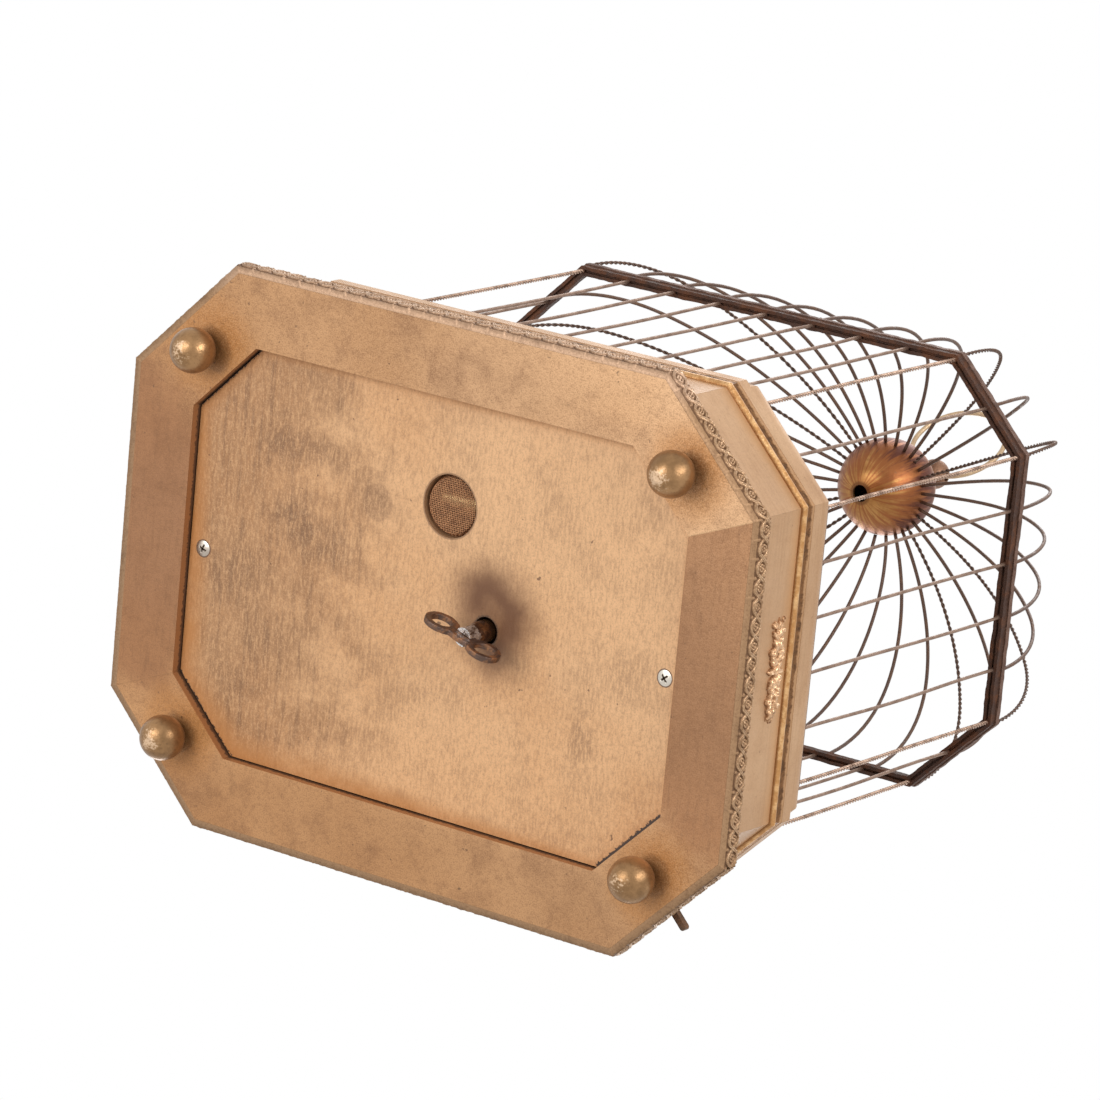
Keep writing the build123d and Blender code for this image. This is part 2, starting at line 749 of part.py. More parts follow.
# winding arbor, up through the barrel to the top plate
with BuildPart() as winding_arbor:
    for foot_z, head_z, diameter in (
        (square_foot, hub_top + 0.5, square_diameter),
        (hub_top + 0.5, upper_z - shake, arbor_diameter),
        (upper_z - shake, upper_z + plate_thickness, pivot_diameter),
    ):
        with BuildSketch(Plane.XY.offset(foot_z)):
            with Locations((key_x, key_y)):
                Circle(diameter / 2)
        extrude(amount=head_z - foot_z)
write(winding_arbor.part, "winding_arbor")

# spring barrel with the great wheel as its lid
with BuildPart() as spring_barrel:
    with BuildSketch(Plane.XY.offset(drum_z)):
        with Locations((key_x, key_y)):
            Circle(drum_radius)
    extrude(amount=drum_height)
    with BuildSketch(Plane.XY.offset(drum_z + drum_wall)):
        with Locations((key_x, key_y)):
            Circle(drum_radius - drum_wall)
    extrude(amount=drum_height - drum_wall, mode=Mode.SUBTRACT)
    with BuildSketch(Plane(origin=(key_x, key_y, great_z))):
        gear_face(great_teeth, 180)
    extrude(amount=wheel_thickness)
    with BuildSketch(Plane.XY.offset(drum_z)):
        with Locations((key_x, key_y)):
            Circle(arbor_diameter / 2 + running_clearance)
    extrude(amount=2 * drum_height, mode=Mode.SUBTRACT)
write(spring_barrel.part, "spring_barrel")

# coiled mainspring, as its outer form
with BuildPart() as mainspring:
    with BuildSketch(Plane.XY.offset(drum_z + drum_wall + spring_gap)):
        with Locations((key_x, key_y)):
            Circle(drum_radius - drum_wall - spring_gap)
            Circle(drum_radius / 3, mode=Mode.SUBTRACT)
    extrude(amount=drum_height - drum_wall - 2 * spring_gap)
write(mainspring.part, "mainspring")

# ratchet wheel, sharp teeth leaning one way, on the arbor under the top plate
ratchet_z = great_z + wheel_thickness + 1.5
with BuildPart() as ratchet_wheel:
    with BuildSketch(Plane(origin=(key_x, key_y, ratchet_z))):
        Circle(ratchet_radius - ratchet_depth)
        tooth_step = radians(360 / ratchet_teeth)
        tooth_root = ratchet_radius - ratchet_depth - 0.3
        with PolarLocations(0, ratchet_teeth):
            Polygon(
                (tooth_root, 0),
                (ratchet_radius, 0),
                (tooth_root * cos(tooth_step), tooth_root * sin(tooth_step)),
                align=None,
            )
        Circle(arbor_diameter / 2 + slot_clearance, mode=Mode.SUBTRACT)
    extrude(amount=ratchet_thickness)
write(ratchet_wheel.part, "ratchet_wheel")

# click: pivoted in the top plate, its nose lying just off the ratchet teeth
with BuildPart() as click:
    with BuildSketch(Plane.XY.offset(ratchet_z)):
        with Locations(click_point):
            Circle(click_width)
        nose = (key_x + ratchet_radius + click_nose_gap, key_y - 1.0)
        Polygon(
            (click_point[0] - click_width, click_point[1]),
            nose,
            (nose[0] + 1.2, nose[1] - 0.6),
            (click_point[0] + 0.6 * click_width, click_point[1] - 0.6 * click_width),
            align=None,
        )
    extrude(amount=ratchet_thickness)
    with BuildSketch(Plane.XY.offset(ratchet_z + ratchet_thickness)):
        with Locations(click_point):
            Circle(click_pin_diameter / 2)
    extrude(amount=upper_z + plate_thickness - ratchet_z - ratchet_thickness)
write(click.part, "click")

# bent strip that presses the click home, its foot fixed to the top plate
with BuildPart() as click_spring:
    with BuildSketch(Plane.XY.offset(ratchet_z)):
        with Locations((click_point[0], click_point[1] + click_width + soft_gap)):
            Rectangle(2 * click_width, click_spring_thickness, align=(Align.MIN, Align.MIN))
    extrude(amount=upper_z - ratchet_z)
write(click_spring.part, "click_spring")


def arbor_with(place, wheel_teeth, wheel_angle, wheel_z, lower_teeth, lower_angle, lower_z, name):
    """One arbor of the train between the plates: pivots, a pinion and a wheel or two fly vanes."""
    with BuildPart() as train:
        with BuildSketch(Plane.XY.offset(plate_top + shake)):
            with Locations(place):
                Circle(arbor_diameter / 2)
        extrude(amount=plate_spacing - 2 * shake)
        with BuildSketch(Plane.XY.offset(plate_z)):
            with Locations(place):
                Circle(pivot_diameter / 2)
        extrude(amount=plate_spacing + 2 * plate_thickness)
        with BuildSketch(Plane(origin=(*place, lower_z))):
            gear_face(lower_teeth, lower_angle)
        extrude(amount=pinion_height)
        if wheel_teeth:
            with BuildSketch(Plane(origin=(*place, wheel_z))):
                gear_face(wheel_teeth, wheel_angle)
            extrude(amount=wheel_thickness)
        else:
            with BuildSketch(Plane.XY.offset(upper_z - fly_height - 1.5)):
                with Locations(place):
                    Rectangle(2 * fly_radius, vane_thickness)
            extrude(amount=fly_height)
    write(train.part, name)


half_step = 180 / pinion_teeth
second_pinion_z = great_z + wheel_thickness / 2 - pinion_height / 2
third_pinion_z = second_z + wheel_thickness / 2 - pinion_height / 2
fly_pinion_z = third_z + wheel_thickness / 2 - pinion_height / 2
arbor_with((second_x, key_y), second_teeth, 180, second_z,
           pinion_teeth, half_step, second_pinion_z, "second_wheel")
arbor_with((third_x, key_y), third_teeth, fly_turn, third_z,
           pinion_teeth, half_step, third_pinion_z, "third_wheel")
arbor_with((fly_x, fly_y), 0, 0, 0, fly_teeth, fly_turn + 180 + 180 / fly_teeth, fly_pinion_z, "fly_governor")

# cams of the bird and whistle on the third arbor
cam_z = plate_top + 2.0
with BuildPart() as bird_cams:
    for step, throw_x, throw_y in ((0, cam_throw, 0), (1, 0, cam_throw)):
        with BuildSketch(Plane.XY.offset(cam_z + step * cam_thickness)):
            with Locations((third_x + throw_x, key_y + throw_y)):
                Circle(cam_radius - step * cam_throw)
            with Locations((third_x, key_y)):
                Circle(arbor_diameter / 2 + slot_clearance, mode=Mode.SUBTRACT)
        extrude(amount=cam_thickness)
write(bird_cams.part, "bird_cams")

# ---- whistle tube over the sound hole, wind chest on it, hung from the deck ----
whistle_z = frame_top + mesh_thickness + mesh_to_whistle + whistle_diameter / 2
whistle_plane = Plane(origin=(sound_x - whistle_length / 2, sound_y, whistle_z),
                      x_dir=(0, 1, 0), z_dir=(1, 0, 0))
with BuildPart() as whistle_tube:
    with BuildSketch(whistle_plane):
        Circle(whistle_diameter / 2)
        Circle(whistle_bore / 2, mode=Mode.SUBTRACT)
    extrude(amount=whistle_length)
    with BuildSketch(whistle_plane.offset(whistle_length)):
        Circle(whistle_diameter / 2)
    extrude(amount=2.0)
    with Locations((sound_x + whistle_length / 3, sound_y, whistle_z - whistle_diameter / 2)):
        Box(whistle_window, whistle_bore, whistle_diameter / 2, mode=Mode.SUBTRACT)
write(whistle_tube.part, "whistle_tube")

with BuildPart() as whistle_piston:
    with BuildSketch(whistle_plane.offset(piston_start)):
        Circle(whistle_bore / 2 - running_clearance)
    extrude(amount=piston_length)
    with BuildSketch(whistle_plane.offset(piston_start)):
        Circle(piston_rod / 2)
    extrude(amount=-piston_rod_length)
write(whistle_piston.part, "whistle_piston")

chest_z = whistle_z + whistle_diameter / 2 + shank_clearance
chest_y = sound_y + whistle_diameter / 2 - chest_width / 2
chest_top = chest_z + chest_height
with BuildPart() as wind_chest:
    with Locations((sound_x, chest_y, chest_z)):
        Box(chest_length, chest_width, chest_height, align=(Align.CENTER, Align.CENTER, Align.MIN))
    with Locations((sound_x, chest_y, chest_z + chest_wall)):
        Box(chest_length - 2 * chest_wall, chest_width - 2 * chest_wall, chest_height - 2 * chest_wall,
            align=(Align.CENTER, Align.CENTER, Align.MIN), mode=Mode.SUBTRACT)
write(wind_chest.part, "wind_chest")

post_points = [
    (sound_x + side_x * (chest_length / 2 + post_side / 2), chest_y + side_y * (chest_width / 2 - post_side))
    for side_x in (-1, 1) for side_y in (-1, 1)
]
with BuildPart() as chest_posts:
    with BuildSketch(Plane.XY.offset(chest_z)):
        with Locations(*post_points):
            Rectangle(post_side, post_side)
    extrude(amount=deck_z - chest_z)
write(chest_posts.part, "chest_posts")

# bellows: leather between the chest and a board hinged at its right end
with BuildPart() as bellows_leather:
    with Locations((sound_x, chest_y, chest_top + soft_gap)):
        Box(chest_length - 4 * bellows_margin, chest_width - 4 * bellows_margin, bellows_rise - 2 * soft_gap,
            align=(Align.CENTER, Align.CENTER, Align.MIN))
write(bellows_leather.part, "bellows_leather")

board_z = chest_top + bellows_rise
with BuildPart() as bellows_board:
    with Locations((sound_x, chest_y, board_z)):
        Box(chest_length - 2 * bellows_margin, chest_width - 2 * bellows_margin, board_thickness,
            align=(Align.CENTER, Align.CENTER, Align.MIN))
write(bellows_board.part, "bellows_board")

# ---- stop lever: turns on a post hung from the deck and comes out through the slot ----
lever_outwards = lever_plane.z_dir
lever_along = lever_plane.x_dir * -1
lever_origin = lever_plane.origin + lever_along * lever_offset - lever_outwards * lever_pivot_depth
lever_length = lever_pivot_depth + wall_inset + lever_reach
lever_frame = Plane(origin=(lever_origin.X, lever_origin.Y, lever_z - lever_width / 2),
                    x_dir=lever_outwards, z_dir=(0, 0, 1))
with BuildPart() as stop_lever:
    with BuildSketch(lever_frame):
        with Locations(((lever_length - lever_tail) / 2, 0)):
            SlotOverall(lever_length + lever_tail, lever_width)
        Circle(lever_eye / 2)
        Circle(lever_post_diameter / 2 + running_clearance, mode=Mode.SUBTRACT)
    extrude(amount=lever_width)
write(stop_lever.part, "stop_lever")

with BuildPart() as lever_post:
    with BuildSketch(Plane(origin=(lever_origin.X, lever_origin.Y, lever_z + lever_width / 2 + shake))):
        Circle(lever_eye / 2)
    extrude(amount=deck_z - lever_z - lever_width / 2 - shake)
    with BuildSketch(Plane(origin=(lever_origin.X, lever_origin.Y, lever_z - lever_width / 2 - shake))):
        Circle(lever_post_diameter / 2)
    extrude(amount=lever_width + 2 * shake)
    with BuildSketch(Plane(origin=(lever_origin.X, lever_origin.Y, lever_z - lever_width / 2 - shake))):
        Circle(lever_eye / 2)
    extrude(amount=-post_head)
write(lever_post.part, "lever_post")

# ---- perch: a tube through the deck and a cross bar ----
bar_z = deck_top + perch_height
rod_foot = upper_z + plate_thickness + rod_lower_end
rod_head = bar_z - perch_bar / 2 - rod_upper_end
tube_foot = deck_z - 4.0
with BuildPart() as perch:
    with BuildSketch(Plane.XY.offset(tube_foot)):
        Circle(perch_diameter / 2)
    extrude(amount=bar_z - tube_foot)
    with BuildSketch(Plane.XZ.offset(-perch_length / 2)):
        with Locations((0, bar_z)):
            Circle(perch_bar / 2)
    extrude(amount=perch_length)
    with BuildSketch(Plane.XY.offset(tube_foot)):
        Circle(perch_bore / 2)
    extrude(amount=bar_z - perch_bar / 2 - 1.0 - tube_foot, mode=Mode.SUBTRACT)
write(perch.part, "perch")

# push rods inside the tube, one for each motion of the bird
for rod, name in enumerate(("head_rod", "beak_rod", "tail_rod")):
    with BuildPart() as push_rod:
        with BuildSketch(Plane.XY.offset(rod_foot)):
            with Locations((rod_circle * cos(radians(120 * rod)), rod_circle * sin(radians(120 * rod)))):
                RegularPolygon(rod_diameter / 2, dome_wire_sides)
        extrude(amount=rod_head - rod_foot)
    write(push_rod.part, name)

# ---- bird: body on two legs, head in a neck socket, lower beak and tail on hinges ----
bird_z = bar_z + perch_bar / 2 + leg_length + bird_girth / 3
bird_axis = Vector(cos(radians(bird_pitch)), 0, sin(radians(bird_pitch)))
head_centre = Vector(head_ahead, 0, bird_z + head_above)
head_radius = head_diameter / 2
body_plane = Plane(origin=(0, 0, bird_z), x_dir=bird_axis, z_dir=(0, -1, 0))
body_half = bird_length / 2
with BuildPart() as bird_body:
    with BuildSketch(body_plane):
        with BuildLine():
            Line((-body_half, 0), (body_half, 0))
            ThreePointArc((body_half, 0), (0.75 * body_half, 0.36 * bird_girth), (0, bird_girth / 2))
            ThreePointArc((0, bird_girth / 2), (-0.6 * body_half, 0.33 * bird_girth), (-body_half, 0))
        make_face()
    revolve(axis=Axis((0, 0, bird_z), bird_axis))
    with Locations(tuple(head_centre)):
        Sphere(head_radius + neck_clearance, mode=Mode.SUBTRACT)
    tail_socket = Vector(0, 0, bird_z) - bird_axis * (0.72 * body_half)
    with BuildSketch(Plane(origin=tail_socket, x_dir=(0, 1, 0), z_dir=bird_axis)):
        Rectangle(2 * bird_girth, 2 * bird_girth)
    extrude(amount=-bird_girth, mode=Mode.SUBTRACT)
    for hand in (-1, 1):
        wing_seat = hand * wing_stance * bird_girth / 2
        with BuildSketch(Plane(origin=(0, wing_seat, bird_z), x_dir=bird_axis, z_dir=(0, hand, 0))):
            with BuildLine():
                Polyline(
                    (wing_length / 3, -hand * 0.2 * wing_depth),
                    (0.2 * wing_length, -hand * 0.72 * wing_depth),
                    (-wing_length * 2 / 3, -hand * 0.35 * wing_depth),
                    (-wing_length / 4, hand * 0.28 * wing_depth),
                    (0.16 * wing_length, hand * 0.28 * wing_depth),
                    close=True,
                )
            make_face()
        extrude(amount=wing_thickness)
write(bird_body.part, "bird_body")

bar_top = bar_z + perch_bar / 2
with BuildPart() as bird_legs:
    with BuildSketch(Plane.XY.offset(bar_top)):
        with Locations((0, -leg_spacing / 2), (0, leg_spacing / 2)):
            RegularPolygon(leg_diameter / 2, dome_wire_sides)
    extrude(until=Until.NEXT, target=bird_body.part)
write(bird_legs.part, "bird_legs")

beak_foot = head_radius - 0.9
beak_line = Axis(tuple(head_centre), (1, 0, 0))


def beak_section(start, end):
    """Half section of the beak along its centre line."""
    Polygon((start, 0), (end, 0), (end, 0.5), (start, beak_width / 2), align=None)


with BuildPart() as bird_head:
    with Locations(tuple(head_centre)):
        Sphere(head_radius)
    with BuildSketch(Plane(origin=head_centre, x_dir=(1, 0, 0), z_dir=(0, 0, 1))):
        beak_section(beak_foot - 2.0, beak_foot + beak_length)
    revolve(axis=beak_line, revolution_arc=180)
    with Locations(tuple(head_centre + Vector(beak_foot - beak_recess, 0, 0))):
        Box(2 * beak_length, beak_width + 2 * neck_clearance, beak_width + 2 * neck_clearance,
            align=(Align.MIN, Align.CENTER, Align.MAX), mode=Mode.SUBTRACT)
write(bird_head.part, "bird_head")

with BuildPart() as bird_beak:
    with BuildSketch(Plane(origin=head_centre - Vector(0, 0, beak_gape), x_dir=(1, 0, 0), z_dir=(0, 0, -1))):
        beak_section(beak_foot, beak_foot + beak_length - 1.0)
    revolve(axis=Axis(tuple(head_centre - Vector(0, 0, beak_gape)), (1, 0, 0)), revolution_arc=180)
write(bird_beak.part, "bird_beak")

tail_axis = Vector(-cos(radians(tail_drop)), 0, -sin(radians(tail_drop)))
tail_root = tail_socket - bird_axis * tail_gap
with BuildPart() as bird_tail:
    with BuildSketch(Plane(origin=tail_root, x_dir=(0, 1, 0), z_dir=tail_axis)) as tail_near:
        Rectangle(0.5 * tail_width, tail_thickness)
    tail_tip = tail_root + tail_axis * tail_length
    with BuildSketch(Plane(origin=tail_tip, x_dir=(0, 1, 0), z_dir=tail_axis)) as tail_far:
        Rectangle(tail_width, tail_thickness / 2)
    loft()
write(bird_tail.part, "bird_tail")
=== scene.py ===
from math import acos, asin, atan2, copysign, cos, exp, floor, hypot, pi, radians, sin, sqrt

import bmesh
import bpy
from mathutils import Matrix, Vector, noise


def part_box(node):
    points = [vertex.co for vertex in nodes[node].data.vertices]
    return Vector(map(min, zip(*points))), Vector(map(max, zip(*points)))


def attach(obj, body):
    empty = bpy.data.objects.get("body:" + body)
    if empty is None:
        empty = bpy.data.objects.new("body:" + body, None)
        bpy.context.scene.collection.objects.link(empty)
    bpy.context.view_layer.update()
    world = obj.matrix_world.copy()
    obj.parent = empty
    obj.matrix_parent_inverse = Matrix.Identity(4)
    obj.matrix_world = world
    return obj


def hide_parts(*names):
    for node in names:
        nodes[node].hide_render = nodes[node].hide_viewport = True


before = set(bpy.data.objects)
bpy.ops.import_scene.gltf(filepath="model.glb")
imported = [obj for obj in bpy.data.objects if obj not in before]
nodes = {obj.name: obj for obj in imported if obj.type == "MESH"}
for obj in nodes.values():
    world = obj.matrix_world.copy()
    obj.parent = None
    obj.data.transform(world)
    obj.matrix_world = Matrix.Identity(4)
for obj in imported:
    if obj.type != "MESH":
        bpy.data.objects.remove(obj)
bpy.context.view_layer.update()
noise.seed_set(7)             # noise_vector draws its offsets from this, the same on every run

MM = 0.001
X_AXIS, Y_AXIS, UP = Vector((1, 0, 0)), Vector((0, 1, 0)), Vector((0, 0, 1))

# ---- sizes, in metres ----

BASE = (165 * MM, 125 * MM, 50.5 * MM)        # half length, half width, chamfer
CAGE = (141.2 * MM, 99.4 * MM, 37.5 * MM)
WALL_INSET = 11.5 * MM
HOOP_OFFSET = 1.5 * MM
LONG_GAPS, SHORT_GAPS, CHAMFER_GAPS = 8, 5, 2

FRAME_LOW, FRAME_TOP = (corner.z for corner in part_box("bottom_frame"))
SILL_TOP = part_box("cage_sill")[1].z
BAND_LOW, BAND_TOP = (corner.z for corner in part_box("shoulder_band"))
HOOP_LOW, HOOP_TOP = (corner.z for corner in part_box("dome_hoop"))
BALL_LOW, BALL_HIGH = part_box("crown_ball")
BALL_RADIUS = (BALL_HIGH.x - BALL_LOW.x) / 2
BALL_Z = 388.4 * MM
DOME_HEIGHT = 112.2 * MM
BALL_RISE = 2.4 * MM          # from the middle of the ball up to the circle where the dome wires end
HUB_CONE = 7.0 * MM           # bright length of the key's hub

KEY = Vector((31.1, 4.5, 0)) * MM
SOUND_HOLE = Vector((6.6, -45.6, 0)) * MM
STAIN = Vector((-32.4, -38.6, 0)) * MM
SMUDGES = [                   # x, y and reach in millimetres, and depth, of the stains on the cover
    (-86, -54, 24, 0.75), (-62, -52, 18, 0.62), (-76, -22, 27, 0.85), (-52, -18, 16, 0.62), (-106, 4, 30, 0.62),
    (62, -60, 18, 0.42), (44, -78, 9, 0.45), (86, 40, 14, 0.66), (108, 8, 22, 0.45), (84, -36, 16, 0.36),
    (-104, 62, 26, 0.55), (-30, 70, 30, 0.32), (112, -66, 16, 0.45), (-92, 32, 24, 0.4), (-20, 34, 22, 0.2),
]


# ---- plan helpers ----

def outline_corners(outline, inset=0.0):
    """Eight corners of a canted rectangle, anticlockwise from the front side's left end."""
    half_x, half_y = outline[0] - inset, outline[1] - inset
    leg = outline[2] - inset * (2 - sqrt(2))
    return [
        Vector((leg - half_x, -half_y, 0)), Vector((half_x - leg, -half_y, 0)),
        Vector((half_x, leg - half_y, 0)), Vector((half_x, half_y - leg, 0)),
        Vector((half_x - leg, half_y, 0)), Vector((leg - half_x, half_y, 0)),
        Vector((-half_x, half_y - leg, 0)), Vector((-half_x, leg - half_y, 0)),
    ]


def side_ends(outline, inset, side):
    corners = outline_corners(outline, inset)
    return corners[side], corners[(side + 1) % 8]


def side_points(outline, inset, side, gaps):
    """Evenly spaced points between the corners of one side."""
    start, end = side_ends(outline, inset, side)
    return [start.lerp(end, step / gaps) for step in range(1, gaps)]


def wobble(seed, place, scale, size):
    """Smooth wandering offset of about the given size."""
    return noise.noise_vector(place * scale + Vector((seed * 7.3, seed * 3.1, 0))) * size


FOOT_INSET = 15.65 * MM
FEET = [(start + end) / 2 for start, end in (side_ends(BASE, FOOT_INSET, side) for side in (1, 3, 5, 7))]

SCREW_LOW, SCREW_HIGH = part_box("cover_screws")
SCREW_HEAD = 3.7 * MM         # radius of a screw's head
SCREWS = [
    Vector((end * (SCREW_HIGH.x - SCREW_HEAD), (SCREW_LOW.y + SCREW_HIGH.y) / 2, 0)) for end in (-1, 1)
]


# ---- directions ----

def swung(first, second, angle):
    """The direction at an angle from the first one towards the second."""
    return first * cos(angle) + second * sin(angle)


def squared(direction, along):
    """What of a direction is square to another one, at unit length."""
    return (direction - along * direction.dot(along)).normalized()


def carried(points, closed=False):
    """Each point, with two directions square to the line that are carried along it."""
    last = len(points) - 1
    normal = None
    for i, point in enumerate(points):
        after = points[(i + 1) % len(points)] if closed or i < last else point
        before = points[i - 1] if closed or i > 0 else point
        along = (after - before).normalized()
        normal = squared(normal or along.orthogonal().normalized(), along)
        yield point, normal, along.cross(normal)


# ---- mesh helpers ----

def new_object(name, bm, material, body, smooth_angle=None):
    """Makes the mesh an object in the row frame, riding on its body."""
    mesh = bpy.data.meshes.new(name)
    bm.to_mesh(mesh)
    bm.free()
    obj = bpy.data.objects.new(name, mesh)
    bpy.context.scene.collection.objects.link(obj)
    mesh.materials.append(material)
    mesh.polygons.foreach_set("use_smooth", [True] * len(mesh.polygons))
    if smooth_angle is not None:
        mesh.set_sharp_from_angle(angle=radians(smooth_angle))
    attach(obj, body)
    return obj


def skin(bm, rows, closed=True):
    """Makes faces between each row of vertices and the next, and returns them."""
    count = len(rows[0])
    return [
        bm.faces.new((near[k], near[(k + 1) % count], far[(k + 1) % count], far[k]))
        for near, far in zip(rows, rows[1:]) for k in range(count if closed else count - 1)
    ]


def tube(bm, points, radius, sides=8, closed=False, slot=0):
    """A round tube along the points, with flat ends unless it is closed."""
    rings = [
        [bm.verts.new(point + swung(normal, across, 2 * pi * k / sides) * radius) for k in range(sides)]
        for point, normal, across in carried(points, closed)
    ]
    if closed:
        first, last = rings[0], rings[-1]
        shift = min(range(sides), key=lambda k: (last[0].co - first[k].co).length)
        rings.append(first[shift:] + first[:shift])
    for face in skin(bm, rings):
        face.material_index = slot
    if not closed:
        bm.faces.new(list(reversed(rings[0])))
        bm.faces.new(rings[-1])


def resample(points, step):
    """The polyline with a point about every step along it."""
    made = [points[0]]
    for start, end in zip(points, points[1:]):
        pieces = max(1, round((end - start).length / step))
        made += [start.lerp(end, k / pieces) for k in range(1, pieces + 1)]
    return made


def twisted_pair(bm, points, strand, pitch, seed):
    """Two wires twisted together, their turns a little uneven, with a dark core and dark inner faces: dirt and
    painted shade in the crease between them.
    """
    sides = 10
    path = resample(points, pitch / 12)
    # dark core in the crease: dirt and painted shade
    tube(bm, path[::4] + [path[-1]], strand * 0.6, 8, slot=1)
    strands = [], []
    angle, travelled, previous = seed, 0.0, path[0]
    for point, normal, across in carried(path):
        step = (point - previous).length
        travelled += step
        angle += 2 * pi * step / pitch * (1 + 0.3 * noise.noise(Vector((travelled * 60, seed, 0))))
        previous = point
        offset = swung(normal, across, angle) * strand
        strands[0].append(point + offset)
        strands[1].append(point - offset)
    for line in strands:
        made = len(bm.faces)
        tube(bm, line, strand, sides)
        bm.faces.ensure_lookup_table()
        # dark inner faces by the spine: dirt and painted shade
        for i, face in enumerate(bm.faces[made:-2]):
            spine = (path[i // sides] + path[i // sides + 1]) / 2
            if (face.calc_center_median() - spine).length < 1.2 * strand:
                face.material_index = 1


def lump(bm, centre, size, seed, squash=(1, 1, 1)):
    """An uneven drop of solder."""
    made = bmesh.ops.create_icosphere(bm, subdivisions=2, radius=1)["verts"]
    for vert in made:
        bulge = 1 + 0.45 * noise.noise(vert.co * 1.3 + Vector((seed * 1.7, 0, seed)))
        vert.co = centre + Vector([vert.co[axis] * squash[axis] for axis in range(3)]) * size * bulge


def relief_sheet(bm, layer, rows, columns, place):
    """A grid surface; place(row, column) gives a point and its height in the relief, 0 to 1."""
    grid = []
    for row in range(rows):
        line = []
        for column in range(columns):
            position, height = place(row, column)
            vert = bm.verts.new(position)
            vert[layer] = height
            line.append(vert)
        grid.append(line)
    skin(bm, grid, closed=False)


# ---- material helpers ----

class Value:
    """What one socket of a material's node gives, to be reckoned with like a number."""

    def __init__(self, paint, socket):
        self.paint, self.socket = paint, socket

    def __add__(self, other):
        return self.paint.math("ADD", self, other)

    def __sub__(self, other):
        return self.paint.math("SUBTRACT", self, other)

    def __rsub__(self, other):
        return self.paint.math("SUBTRACT", other, self)

    def __mul__(self, other):
        return self.paint.math("MULTIPLY", self, other)

    def __truediv__(self, other):
        return self.paint.math("DIVIDE", self, other)

    def __abs__(self):
        return self.paint.math("ABSOLUTE", self)

    def ramp(self, low, high, dark=0.0, light=1.0):
        """The value between low and high, spread smoothly over dark to light."""
        return self.paint.add("ShaderNodeMapRange", "Result", {
            "Value": self, "From Min": low, "From Max": high, "To Min": dark, "To Max": light,
        }, interpolation_type="SMOOTHSTEP")

    def shaken(self, cause, reach):
        """The value made uneven by a noise, by up to the reach each way."""
        return self + cause.ramp(0.3, 0.7, -reach, reach)


class Paint:
    """Builds one node material, with short calls for its nodes; colour is what is painted so far."""

    def __init__(self, name, **surface):
        self.material = bpy.data.materials.new(name)
        self.material.use_nodes = True
        self.tree = self.material.node_tree
        self.shader = self.tree.nodes["Principled BSDF"]
        self.colour = None
        self.place = self.add("ShaderNodeTexCoord", "Object")
        self.x, self.y, self.z = (self.add("ShaderNodeSeparateXYZ", axis, {0: self.place}) for axis in "XYZ")
        for socket, value in surface.items():
            self.shader.inputs[socket.replace("_", " ")].default_value = value

    def add(self, kind, output=0, inputs=None, **settings):
        """Adds a node with its settings and inputs, and gives one of its outputs."""
        node = self.tree.nodes.new(kind)
        for setting, value in settings.items():
            setattr(node, setting, value)
        for socket, value in (inputs or {}).items():
            self.put(node.inputs[socket], value)
        return Value(self, node.outputs[output])

    def put(self, socket, value):
        if isinstance(value, Value):
            self.tree.links.new(value.socket, socket)
        else:
            socket.default_value = value

    def noise(self, scale, detail=3.0, rough=0.55, vector=None, distort=0.0):
        return self.add("ShaderNodeTexNoise", "Fac", {
            "Vector": vector or self.place, "Scale": scale, "Detail": detail,
            "Roughness": rough, "Distortion": distort,
        })

    def stretched(self, x, y, z):
        """The surface's place, scaled along each axis, for grain and streaks."""
        return self.add("ShaderNodeMapping", "Vector", {"Vector": self.place, "Scale": (x, y, z)})

    def math(self, operation, first, second=0.0):
        return self.add("ShaderNodeMath", 0, {0: first, 1: second}, operation=operation)

    def mix(self, share, first, second, blend="MIX"):
        first, second = (value if isinstance(value, Value) else (*value, 1.0) for value in (first, second))
        return self.add("ShaderNodeMix", 2, {0: share, 6: first, 7: second},
                        data_type="RGBA", blend_type=blend, clamp_factor=True)

    def tint(self, colour, tone):
        return self.mix(1.0, colour, tone, "MULTIPLY")

    def lay(self, share, colour):
        """Lays a share of a colour over what is painted so far."""
        self.colour = self.mix(share, self.colour, colour)

    def grain(self, value, light, dark, share):
        """Breaks the colour up with lighter and darker grains where the value is high or low."""
        self.lay(value.ramp(0.51, 0.64, 0, share), light)
        self.lay(value.ramp(0.49, 0.37, 0, share), dark)

    def distance(self, centre):
        """How far the surface is from a point, seen along Z."""
        flat = self.add("ShaderNodeVectorMath", "Vector", {0: self.place, 1: (1, 1, 0)}, operation="MULTIPLY")
        return self.add("ShaderNodeVectorMath", "Value", {0: flat, 1: (centre[0], centre[1], 0)},
                        operation="DISTANCE")

    def inside(self, half_x, half_y, leg):
        """How far the surface is inside a canted rectangle, and inside its four canted sides alone."""
        across, down = abs(self.x), abs(self.y)
        canted = (half_x + half_y - leg - (across + down)) * sqrt(0.5)
        return self.math("MINIMUM", self.math("MINIMUM", half_x - across, half_y - down), canted), canted

    def finish(self, rough, bumps=()):
        """Links the colour and roughness, and chains the bumps: pairs of (height, depth in metres)."""
        self.put(self.shader.inputs["Base Color"], self.colour)
        self.put(self.shader.inputs["Roughness"], rough)
        target = self.shader
        for height, depth in reversed(bumps):
            node = self.tree.nodes.new("ShaderNodeBump")
            for socket, value in (("Height", height), ("Distance", depth), ("Strength", 1.0)):
                self.put(node.inputs[socket], value)
            self.tree.links.new(node.outputs["Normal"], target.inputs["Normal"])
            target = node
        return self.material


# ---- materials ----

SPOT = (0.11, 0.055, 0.025)   # small dark spots in the paint


